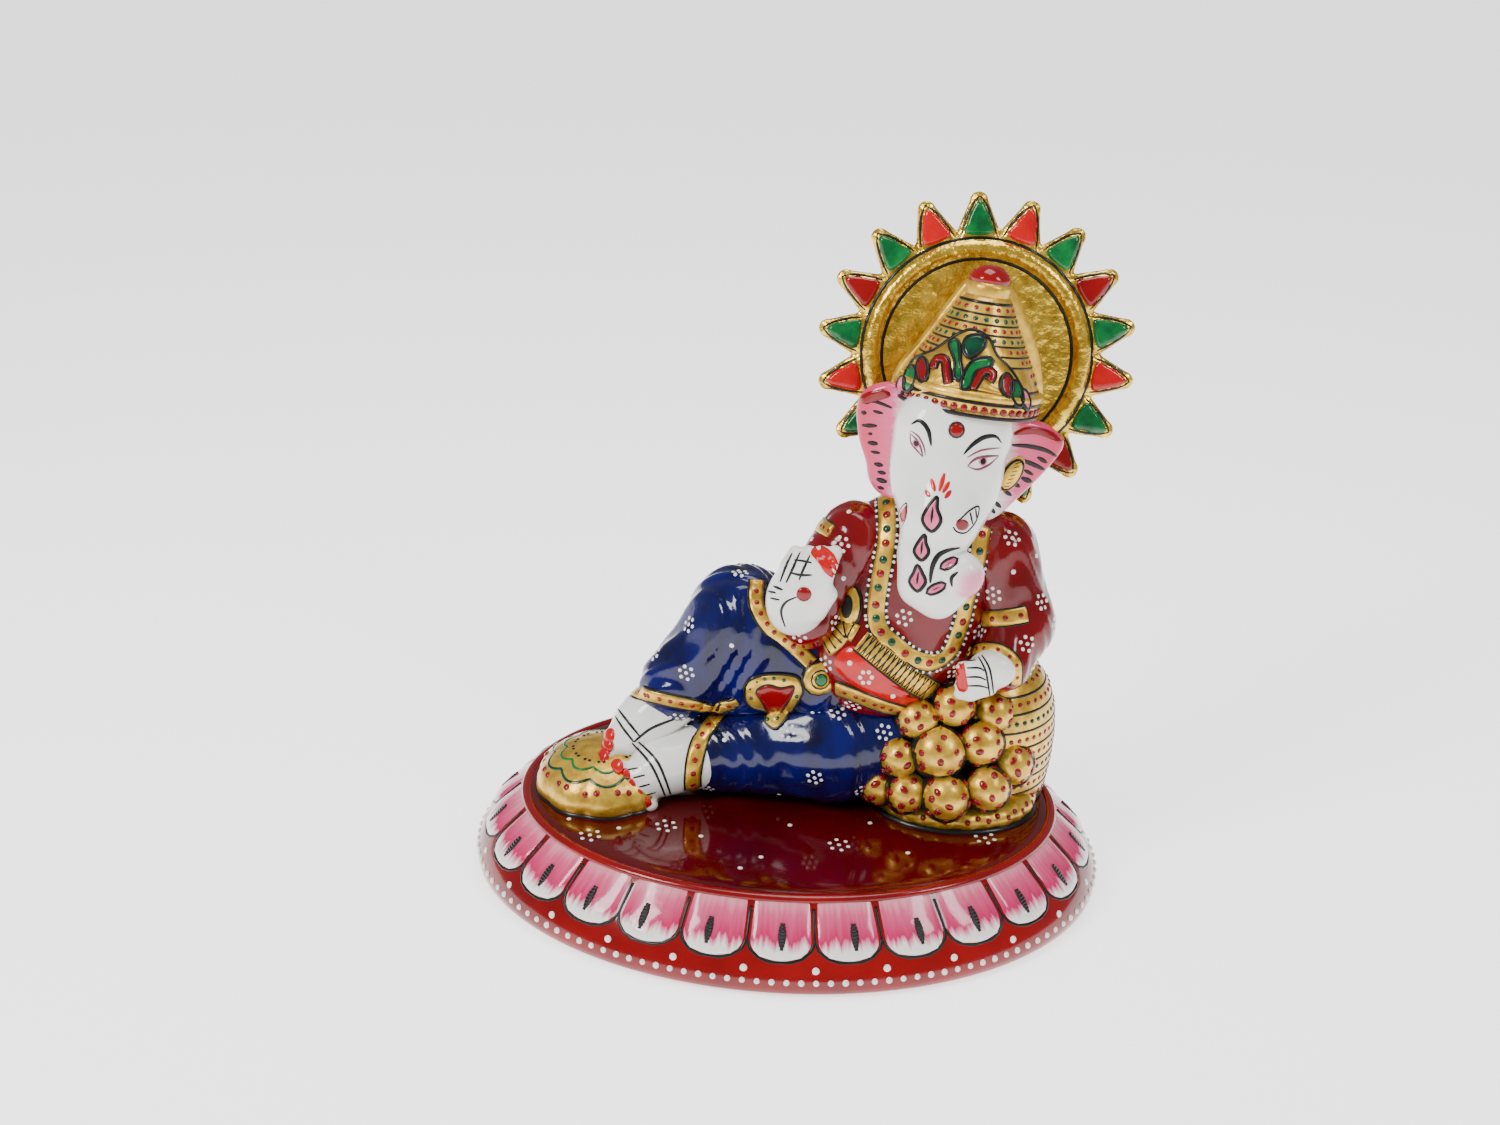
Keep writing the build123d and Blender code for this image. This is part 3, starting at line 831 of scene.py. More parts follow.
def build_head():
    """The head and trunk in one casting, with the brush lines of the face."""
    def field(p):
        d = ball(p, (37.9, -2, 130), (14.8, 14.5, 18), 6)
        d = join(d, ball(p, (33, -8, 137), (9, 8, 9)), 6)
        d = join(d, ball(p, (44.5, -7, 136), (8.5, 8, 9)), 6)
        d = join(d, ball(p, (44.6, -8.5, 118), (5.5, 7, 9), 14), 6)
        d = join(d, ball(p, (29.5, -8, 121), (6, 7, 9), -8), 6)
        d = join(d, limb(p, TRUNK, 3), 4)
        d = join(d, ball(p, KNOB, (6, 5.6, 6.2)), 0.4)
        return join(d, limb(p, [((39.5, 4, 122), 11), ((38.5, 6, 108), 9)]), 4)

    verts, faces = sculpt(field, (20, -31, 85), (58, 20, 152), 0.6)
    knob = np.linalg.norm(verts - np.array(KNOB + Vector((2.4, -3, -0.8))), axis=1)
    make_piece("head_casting", verts, faces, ["head"], "white_enamel", ["head"],
               zone=np.clip(1.5 - knob / 4.8, 0, 1), brush=verts * 0.25)
    place = caster(surface("head_casting"))
    paint = Brush("face_enamel", "white_enamel")

    def line(colour, points, width, taper=0.85):
        paint.stroke(colour, place, points, width, 0.12, taper=taper, step=0.5)

    line("black", [(44, 37.7), (46.3, 38.7), (48.6, 36.2), (49.5, 31.7)], 1.25)
    line("black", [(58.3, 29.5), (60.8, 32.2), (64, 34.2), (67.1, 34.4), (68.7, 32.6)], 1.35)
    line("mauve", [(43.8, 36), (46, 34.4), (47.5, 31.5), (47.9, 29.1)], 0.6)
    line("mauve", [(43.7, 35.4), (44, 32.6), (45.5, 30.7), (47.2, 28.8)], 0.6)
    line("mauve", [(43.8, 35.1), (45.6, 33.4), (46.7, 31), (47.2, 28.8)], 0.75)
    line("mauve", [(59.2, 28.6), (63.1, 30.6), (68.5, 31.3)], 0.6)
    line("mauve", [(59.4, 26.3), (62.1, 28.5), (68, 29.2)], 0.85)
    line("mauve", [(59.4, 26.3), (62.1, 25.4), (65.3, 26.7), (68, 29.2)], 0.7)
    for at, pupil in (((45.4, 32.5), 1.15), ((63.6, 27.6), 1.3)):
        paint.dot("pink", place(*at), pupil, height=0.1)
        paint.dot("black", place(*at), pupil * 0.68, 0.06, 0.15)
    paint.dot("black", place(56.4, 36.2), 2.25, height=0.12)
    paint.dot("red", place(56.4, 36.2), 1.75, 0.12, 0.2)
    for stroke in ([(47.9, 19.7), (49.2, 17.9)], [(49.5, 22.9), (50.5, 19.4)], [(53.1, 24.4), (51.7, 19.4)],
                   [(54.5, 22.1), (52.6, 19)], [(54.9, 19.7), (53.2, 17.5)]):
        line("bright_red", stroke, 1.3, 0.6)
    for tip, middle, half in (((51, 17.9), (49.6, 11.6), 2.5), ((47.7, 7.6), (46.8, 3.1), 2),
                              ((45.7, -0.7), (45.7, -5.1), 2.2)):
        (tu, tv), (mu, mv) = tip, middle
        drop = [(tu, tv), (mu + half * 0.62, (tv + mv) / 2), (mu + half, mv - 0.4), (mu, mv - half * 1.25),
                (mu - half, mv - 0.2), (mu - half * 0.5, (tv + mv) / 2)]
        paint.field("pink", place, drop, 0.1)
        paint.stroke("black", place, drop, 1, 0.2, closed=True)
        line("black", [(mu + 0.3, (tv + mv) / 2 + 0.4), (mu - 0.1, mv - 0.8)], 0.85, 0.6)
    for middle, tilt, long in (((54.3, -0.3), 0.5, 2.7), ((50.8, -7.1), 0.45, 2.9)):
        (mu, mv), c, s = middle, math.cos(tilt), math.sin(tilt)
        leaf = oval(mu, mv, long, 1.25, tilt)
        paint.field("pink", place, leaf, 0.1)
        paint.stroke("black", place, leaf, 0.8, 0.2, closed=True)
        line("mauve", [(mu - long * 0.5 * c, mv - long * 0.5 * s),
                       (mu + long * 0.4 * c, mv + long * 0.4 * s)], 0.7)
    line("black", [(49.2, -5.6), (49.7, -1.5), (51.3, 1.8), (54, 3.3), (57.3, 4)], 1.5, 0.7)
    line("black", [(56.9, -2.5), (55, -4.2), (55.2, -6.7)], 1.1)
    paint.field("red", place, [(56.1, 10.5), (57.2, 11.7), (59, 11.6), (59.8, 10.2), (58.7, 8.9),
                               (56.9, 8.9)], 0.2)
    line("black", [(55.5, 9.7), (56.5, 8.4), (59, 8.2), (61.7, 11.3), (62.5, 15.2), (60.1, 14.3),
                   (57.7, 12.1), (56.4, 11.1)], 0.6, 0.3)
    line("black", [(60.1, 13.7), (60.8, 10.5)], 0.65, 0.3)
    line("black", [(61.6, 14.7), (61.9, 12)], 0.65, 0.3)
    paint.field("bright_red", place, [(41, 13), (41.8, 14.6), (42.7, 15.7), (42.6, 12.7), (41.6, 10.8)],
                0.15)
    line("black", [(40.5, 11.3), (40.8, 14.1), (42.7, 16.2), (42.6, 12.4), (41.4, 9.7)], 0.5)
    paint.finish()


LEFT_EAR = [(53, 137), (57, 136.2), (63, 134.8), (68, 131), (69, 127.6), (64.5, 121), (58.5, 114.5),
            (52.5, 108.5), (48.5, 107.5), (47, 113), (49, 121), (50, 130)]
RIGHT_EAR = [(27, 141), (22, 144.5), (15.6, 142), (13.4, 136.5), (14.4, 128), (16.5, 122), (18, 116),
             (22, 112.6), (27, 113.5), (29, 122), (29, 132)]


def build_ears():
    """Both ears and both earrings."""
    paint = Brush("ear_enamel_lines", "pink_enamel")
    for name, outline, side, root in (("right_ear", RIGHT_EAR, -1, 26.5), ("left_ear", LEFT_EAR, 1, 52)):
        def field(p):
            d = plate(p, outline, 1.5, 4.2, 1.8, bend=0.006)
            scoop = ball(p, (root + side * 5.5, -2.5, 128 if side > 0 else 130), (5, 3.2, 9), side * 22)
            return -join(-d, scoop, 1.5)
        low, high = (10, -5, 104), (34, 13, 149)
        if side > 0:
            low, high = (44, -5, 103), (73, 13, 141)
        verts, faces = sculpt(field, low, high, 0.6)
        reach = side * (verts[:, 0] - root) / (14 if side > 0 else 11)
        fall = np.abs(verts[:, 2] - 126)
        brush = np.stack([fall * 0.9, reach * 1.2, verts[:, 1] * 0], 1)
        make_piece(name + "_casting", verts, faces, ["ear"], "pink_enamel", [name],
                   zone=np.clip(reach, 0, 1), brush=brush)
        place = caster(surface(name + "_casting"))
        if side < 0:
            top = [(29.8, 44.1), (31.7, 46.3), (37.1, 47.2), (38.5, 45.5), (35.5, 44.4), (31.7, 43.3)]
            strokes = [([(31.7, 43.3), (33.9, 44), (38.8, 42.2)], 0.7), ([(30.4, 41), (31.8, 40.8)], 1),
                       ([(33.6, 41.4), (36.3, 40.7)], 0.7), ([(30.6, 37.5), (34.7, 37.3)], 0.9),
                       ([(32.2, 35.2), (33.4, 35.1)], 0.7), ([(32.1, 32.8), (34.9, 32.4)], 1),
                       ([(33, 30.3), (35.5, 29.9)], 0.7), ([(33.9, 27), (36.3, 26.5)], 1),
                       ([(34.8, 24.8), (37.1, 24.3)], 0.9), ([(34.5, 22.8), (37.4, 22)], 1.1),
                       ([(34.8, 20.7), (36.6, 20.1)], 0.8)]
        else:
            top = [(71.3, 34.9), (74.8, 36.9), (79.2, 36.7), (83, 35.4), (85.2, 32.6), (80.8, 34.4),
                   (76.4, 35.2)]
            strokes = [([(71.5, 32.1), (76.4, 31.7), (80.8, 30.6), (83.8, 28.9)], 1),
                       ([(74, 28.1), (77.3, 26.8), (80.8, 25.1)], 1), ([(78.5, 28.8), (81.1, 27.2)], 0.9),
                       ([(74.8, 25.3), (77.3, 23.9)], 0.8), ([(74.1, 23.2), (77.5, 21.7)], 1.1),
                       ([(71.7, 21.8), (73.7, 20.6)], 0.9), ([(69.2, 19.7), (71.4, 18.3)], 0.9),
                       ([(66.7, 16.7), (68.5, 15)], 0.9), ([(64.8, 15.6), (66.9, 13.5)], 1),
                       ([(64.2, 11.9), (65.8, 10.8)], 0.8)]
        paint.field("red", place, top, 0.3)
        for points, width in strokes:
            paint.stroke("black", place, points, width * 1.35, 0.14, taper=0.6, step=0.5)
    paint.finish()
    for name, centre, tilt in (("right_earring", (24.9, -4.5, 126), 4),
                               ("left_earring", (54.6, -5, 123.6), 24)):
        low, high = Vector(centre) - Vector((5, 4, 8)), Vector(centre) + Vector((5, 4, 8))
        cast(name, lambda p: ball(p, centre, (2.6, 1.9, 5.4), tilt), low, high, 0.4,
             "gold", "gold_enamel")
        gem = Brush(name + "_lines", "gold_enamel")
        spot = caster(surface(name + "_casting"),
                      lambda x, z: (Vector((centre[0] + x, -40, centre[2] + z)), Vector((0, 1, 0))))
        t = math.radians(tilt)
        gem.stroke("black", spot, oval(0, 0, 2.2, 4.6, -t, 12), 0.8, closed=True)
        for k in range(-3, 4):
            gem.stroke("black", spot, [(-0.6 + k * math.sin(t), k * 1.1),
                                       (0.7 + k * math.sin(t), k * 1.1 + 0.4)], 0.45, taper=0.5)
        gem.finish()


# ---------------------------------------------------------------- body
def clipped(d, p):
    """A field cut off level with the deck."""
    return np.maximum(d, DECK_Z - 0.6 - p[..., 2])


def folds(p, direction, pitch, depth):
    """Shallow hand-modelled folds of cloth across a direction."""
    wave = p @ np.array(direction, float) / pitch + 0.8 * np.sin(p[..., 0] * 0.21 + p[..., 1] * 0.3)
    return depth * np.sin(2 * math.pi * wave)


def build_body():
    """Torso, arms and legs."""
    def torso(p):
        d = ball(p, (30, 6, 78), (25, 17, 29), 8)
        d = join(d, ball(p, (36, 7, 98), (25, 13, 15)), 8)
        d = join(d, ball(p, (20, 7, 58), (21, 15, 15)), 6)
        return join(d, ball(p, (22, -4, 66), (17, 11, 14), 20), 6)

    def right_arm(p):
        d = limb(p, [((15.5, 4, 99.5), 10.5), ((4.5, -1, 86), 9), ((3.5, -5, 79), 8.3)])
        return d + folds(p, (0.5, 0, 0.8), 9, 0.25)

    def left_arm(p):
        d = limb(p, [((54.5, 5, 98), 10.5), ((61, 1, 78), 9.5), ((56.5, -8, 70), 8.2)])
        return d + folds(p, (0.2, 0, 0.9), 10, 0.25)

    def left_leg(p):
        d = limb(p, [((-20, -0.5, 34), 12), ((12, 0.5, 38.5), 16.5), ((29, 3, 42), 15.5)], 6)
        return clipped(d + folds(p, (0.9, 0, 0.25), 11, 0.32), p)

    def right_leg(p):
        d = limb(p, [((-33, 2, 53), 10.5), ((-15, 4.5, 73.5), 13.6), ((8, 6, 58), 16.5)], 7)
        d = join(d, ball(p, (-11, 3, 58.5), (20, 11.5, 13.5), -12), 5)
        return clipped(d + folds(p, (0.75, 0, -0.6), 8, 0.42), p)

    parts = [("torso", torso, (-3, -20, 40), (62, 26, 116), "robe", "red_enamel"),
             ("right_arm", right_arm, (-8, -17, 67), (30, 18, 114), "robe", "red_enamel"),
             ("left_arm", left_arm, (40, -20, 58), (74, 19, 112), "robe", "red_enamel"),
             ("left_leg", left_leg, (-36, -22, 20), (48, 22, 62), "navy", "blue_enamel"),
             ("right_leg", right_leg, (-48, -18, 34), (28, 26, 92), "navy", "blue_enamel")]
    for name, field, low, high, colour, slot in parts:
        cast(name, field, low, high, 0.8, colour, slot)


def build_hands():
    """The raised hand and the hand on the sweets."""
    def right_hand(p):
        d = ball(p, (0.3, -12.4, 88.5), (8.6, 5.6, 11.2), 12)
        for k in range(4):
            x = -4.2 + 3.5 * k
            d = join(d, limb(p, [((x, -15.5, 91 + 0.5 * k), 2.5), ((x + 1.6, -14.4, 98.2 + 0.4 * k), 2.3),
                                 ((x + 3.2, -10.5, 100.6 + 0.2 * k), 2)], 1), 1.4)
        return join(d, limb(p, [((5, -15, 86), 3), ((8.2, -15, 91), 2.5)], 1), 1.5)

    def left_hand(p):
        d = ball(p, (53.5, -13.5, 70.5), (6.8, 5.2, 5.6), -8)
        for k in range(4):
            z = 73.4 - 2.7 * k
            d = join(d, limb(p, [((53, -15, z), 2), ((48, -16.6, z - 1), 1.9), ((45, -15.8, z - 1.6), 1.6)],
                             1), 1)
        return d

    hands = [("right_hand", right_hand, (-13, -22, 72), (16, -3, 106)),
             ("left_hand", left_hand, (37, -23, 58), (64, -5, 80))]
    for name, field, low, high in hands:
        cast(name, field, low, high, 0.5, "white", "white_enamel")
    paint = Brush("hand_enamel", "white_enamel")
    place = caster(surface("right_hand_casting"))
    for points in ([(13.7, 2.9), (11.5, -2), (9.8, -5.6)], [(16.4, 2), (14.5, -2), (13.4, -4.8)],
                   [(11.5, 2.6), (9.8, -1), (8.2, -5.3)], [(10.9, -2.7), (13.7, -3.4), (16.9, -3.4)],
                   [(12, 0.7), (14.7, 0.4), (16.9, -0.1)], [(4.9, -7.8), (7.1, -8.3)],
                   [(5.5, -9.7), (8.2, -10.2)], [(12.8, -9.4), (9.8, -10.8), (8.5, -13.5), (9.6, -17.6)],
                   [(6.3, -6.4), (9, -7.5)]):
        paint.stroke("black", place, points, 0.75, 0.14, taper=0.6, step=0.5)
    paint.dot("red", place(14.7, -8.7), 2.1, height=0.25)
    paint.field("bright_red", place, [(16.4, 2.9), (18.6, 4.8), (22.4, 2.9), (24.3, -1.5), (24, -4.8),
                                      (20.7, -3.1), (18.6, -0.1)], 0.3)
    place = caster(surface("left_hand_casting"))
    for points in ([(62.4, -25.8), (64.4, -29.9), (65.5, -36.7)],
                   [(63.3, -25.3), (65.5, -29.3), (66.6, -36.4)],
                   [(59.2, -28.8), (62.5, -28.8), (63.9, -29.6)],
                   [(59.2, -31.3), (62.5, -31.3), (64.4, -32.1)],
                   [(59.5, -33.7), (62.8, -33.7), (65, -34.3)], [(59, -26.9), (61.7, -26.6)]):
        paint.stroke("black", place, points, 0.6, 0.14, taper=0.4, step=0.5)
    paint.field("bright_red", place, [(55.4, -27.2), (58.1, -26.6), (59, -30.4), (59.5, -34.8),
                                      (57.3, -35.4), (56, -32.1)], 0.25)
    paint.finish()


def build_feet():
    """Both feet with their anklets and red nails."""
    toes_up = [(-49.5 - 0.9 * k, -3.5 - 2 * k, 38.5 - 1.9 * k) for k in range(5)]
    toes_low = [(-47 + 2.1 * k, -12 - 0.7 * k, 33.4 - 2.5 * k) for k in range(5)]

    def right_foot(p):
        d = limb(p, [((-34, 2.5, 49), 8.8), ((-42, 0.5, 41), 7.8), ((-47.5, -3, 37), 5.4)])
        for toe in toes_up:
            d = join(d, ball(p, toe, (2.1, 2.1, 1.9)), 1)
        return d

    def left_foot(p):
        d = limb(p, [((-25, -3, 33.5), 9.6), ((-36, -7, 31.5), 7.8), ((-41.5, -10, 29), 6.2)])
        for toe in toes_low:
            d = join(d, ball(p, toe, (2.3, 2.2, 2)), 1)
        return clipped(d, p)

    for name, field, low, high in (("right_foot", right_foot, (-56, -15, 26), (-26, 13, 60)),
                                   ("left_foot", left_foot, (-52, -19, 20), (-14, 9, 46))):
        cast(name, field, low, high, 0.6, "white", "white_enamel")
    paint = Brush("foot_enamel", "white_enamel")
    both = surface("right_foot_casting", "left_foot_casting")
    place = caster(both)
    for toes in (toes_up, toes_low):
        for toe in toes:
            near, normal, _, _ = both.find_nearest(Vector(toe) + Vector((-2, -2.2, 1.2)))
            paint.dot("bright_red", (near, normal if normal.y < 0.3 else -normal), 2.4, height=0.3)
    for points, width in (([(-37.7, -40.5), (-34.9, -44.9), (-31.8, -48.9)], 0.8),
                          ([(-36.3, -39.7), (-33.3, -43.5), (-30, -47.6)], 0.8),
                          ([(-31.7, -49), (-26.8, -45.2), (-19.1, -42.2)], 0.9),
                          ([(-32.2, -49.3), (-26.8, -55.6), (-22.6, -65.1)], 0.8),
                          ([(-30.5, -48.9), (-25.1, -54.7), (-21.3, -64.3)], 0.8),
                          ([(-33.6, -56.6), (-30.6, -56.1)], 0.6), ([(-31.9, -58.8), (-28.7, -58)], 0.6),
                          ([(-30.3, -61.3), (-27.3, -60.5)], 0.6), ([(-28.7, -63.7), (-25.7, -62.7)], 0.6),
                          ([(-39.3, -41.9), (-37.7, -44.1)], 0.6), ([(-40.1, -44.1), (-38.2, -46)], 0.6)):
        paint.stroke("black", place, points, width, 0.14, taper=0.4, step=0.5, jump=5)
    paint.finish()


def foot_spot(middle, rx, ry, z, angle):
    """A spot of the dark line round a piece's foot."""
    across, back = math.cos(angle), math.sin(angle)
    return Vector((middle[0] + rx * across, middle[1] + ry * back, z)), Vector((across, back,
                                                                                0.9)).normalized()


def build_cushion():
    """The scalloped gold cushion under the feet."""
    (cx, cy), sides = CUSHION, 144

    def rim(angle):
        return 1 + 0.035 * abs(math.cos(CUSHION_LOBES * angle / 2))

    profile = [(18, 22), (18.9, 23.5), (18.6, 26.5), (17, 29.5), (14, 32.2), (10, 34.2), (5, 35.4)]
    verts = [(cx + r * rim(t) * math.cos(t), cy + r * rim(t) * math.sin(t), z)
             for r, z in profile for t in turns(sides)] + [(cx, cy, 35.8), (cx, cy, 22)]
    last = (len(profile) - 1) * sides
    faces = grid_faces(len(profile), sides) + [(last + k, last + (k + 1) % sides, len(verts) - 2)
                                               for k in range(sides)]
    faces += [((k + 1) % sides, k, len(verts) - 1) for k in range(sides)]
    make_piece("foot_cushion_casting", verts, faces, ["gold"], "gold_enamel", ["foot_cushion"])
    place = caster(surface("foot_cushion_casting"), lambda r,
                   t: (Vector((cx + r * math.cos(t), cy + r * math.sin(t), 60)), Vector((0, 0, -1))))
    paint = Brush("foot_cushion_enamel", "gold_enamel")
    for base, wave, colour, width in ((14.2, 1.9, "dark_green", 0.9), (10.6, 1.9, "green", 0.8)):
        spots = [place(base + wave * abs(math.cos(CUSHION_LOBES * t / 2)), t) for t in turns(120)]
        paint.ribbon(colour, [s for s in spots if s], width, 0.2, closed=True)
    for count, radius, colour, size in ((26, 8.8, "black", 0.5), (24, 17.4, "red", 0.95)):
        for k in range(count):
            paint.dot(colour, place(radius, 2 * math.pi * (k + 0.3 * (k % 2)) / count), size)
    paint.ribbon("black", [foot_spot(CUSHION, 18.3 * rim(t), 18.3 * rim(t), 22.3, t) for t in turns(120)],
                 1.6, 0.4, closed=True)
    paint.finish()


SWEETS = [((25.5, -11, 31), 5.4), ((33, -15, 32), 6.2), ((43.5, -17, 32.5), 7.2), ((55, -14, 34), 6.8),
          ((62, -7.5, 38.5), 6.6), ((30.5, -11.5, 41), 6.2), ((41, -13.5, 44.5), 7.6),
          ((52.5, -10, 46), 6.8), ((35, -9, 52), 6.2), ((44.5, -7.5, 56), 6.6), ((56, -5, 53), 6.2)]


def build_sweets():
    """The heap of sweets and their dish; behind each sweet a larger black ball, set further from the viewer,
    shows as a dark rim: black paint and painted shade in the gaps between the sweets.
    """
    verts, faces, shades = [], [], []
    back = -LOOK
    for centre, radius in SWEETS:
        # The second ball is black, larger and moved away from the viewer: its rim is black paint and painted
        # shade in the gaps between the sweets.
        for colour, size, shift in ((0, radius, 0), (1, radius + 0.55, -1)):
            base, rings, sides = len(verts), 18, 28
            for r in range(rings + 1):
                for t in turns(sides):
                    a = math.pi * r / rings
                    out = Vector((math.sin(a) * math.cos(t), math.sin(a) * math.sin(t), math.cos(a)))
                    uneven = 1 + 0.02 * math.sin(3 * t + centre[0])
                    verts.append(Vector(centre) + out * size * uneven + back * shift)
            added = [[base + i for i in f] for f in grid_faces(rings + 1, sides)]
            faces += added
            shades += [colour] * len(added)
    make_piece("sweet_balls", verts, faces, ["gold", "black"], "gold_enamel", ["sweet_heap"],
               face_colours=shades)
    paint = Brush("sweet_dots", "gold_enamel")
    for centre, radius in SWEETS:
        for k in range(34):
            lean, turn = math.acos(1 - 2 * (k + 0.5) / 34), 2.4 * k + rng.random() * 0.5
            out = Vector((math.sin(lean) * math.cos(turn), math.sin(lean) * math.sin(turn), math.cos(lean)))
            point = Vector(centre) + out * radius
            if out.dot(back) > 0.1 and all((point - Vector(c)).length > r + 0.9 for c,
                                           r in SWEETS if c != centre):
                paint.dot("red", (point, out), 0.8 + 0.25 * rng.random(), oval=1 + 0.5 * rng.random(),
                          turn=rng.random() * 3)
    paint.finish()

    def dish(p):
        lumps = 0.35 * np.sin(p[..., 0] * 0.9) * np.sin(p[..., 1] * 0.7)
        return clipped(ball(p, (*DISH, 24.5), DISH_RADII) + lumps, p)

    cast("sweet_dish", dish, (20, -23, 20), (74, 20, 33), 0.7, "gold", "gold_enamel")
    paint = Brush("sweet_dish_enamel", "gold_enamel")
    target = surface("sweet_dish_casting")
    for k, t in enumerate(turns(44)):
        inward = Vector((-40 * math.cos(t), -34 * math.sin(t), 0))
        place = caster(target, lambda x, z: (Vector((*DISH, z)) - inward, inward.normalized()))
        paint.dot("red", place(0, 25.6 + 0.7 * (k % 2)), 0.85)
    paint.ribbon("black", [foot_spot(DISH, 23.7, 18.7, 22.4, t) for t in turns(96)], 1.7, 0.4, closed=True)
    paint.finish()


def build_bolster():
    """The bolster under the elbow."""
    profile = [(22, 18.6), (26, 19.6), (34, 20.5), (42, 20.7), (50, 20), (56, 18), (60, 15.4), (63, 11.5),
               (64.3, 7)]
    lathe("bolster_casting", BOLSTER, Vector((0, 0, 1)), profile, "gold", "gold_enamel", ["bolster"], 96)
    hs, rs = zip(*profile)

    def spot(t, z):
        slope = float(np.interp(z + 0.5, hs, rs)) - float(np.interp(z - 0.5, hs, rs))
        out = Vector((math.cos(t), math.sin(t), 0))
        point = BOLSTER + out * float(np.interp(z, hs, rs)) + Vector((0, 0, z))
        return point, (out - Vector((0, 0, slope))).normalized()

    paint = Brush("bolster_enamel", "gold_enamel")
    for z in (28.5, 33.5, 38.5, 43.5, 48.5, 53.5, 58):
        paint.ribbon("black", [spot(t, z) for t in turns(96)], 0.75, 0.2, closed=True)
    paint.ribbon("black", [spot(t, 22.6) for t in turns(96)], 1.6, 0.4, closed=True)
    for z, colour, count in ((26, "red", 46), (31, "red", 50), (36, "dark_green", 50), (41, "red", 50),
                             (46, "red", 50), (51, "dark_green", 48), (56, "red", 40), (60.5, "red", 30)):
        for t in turns(count):
            paint.dot(colour, spot(t, z), 0.72)
    paint.finish()


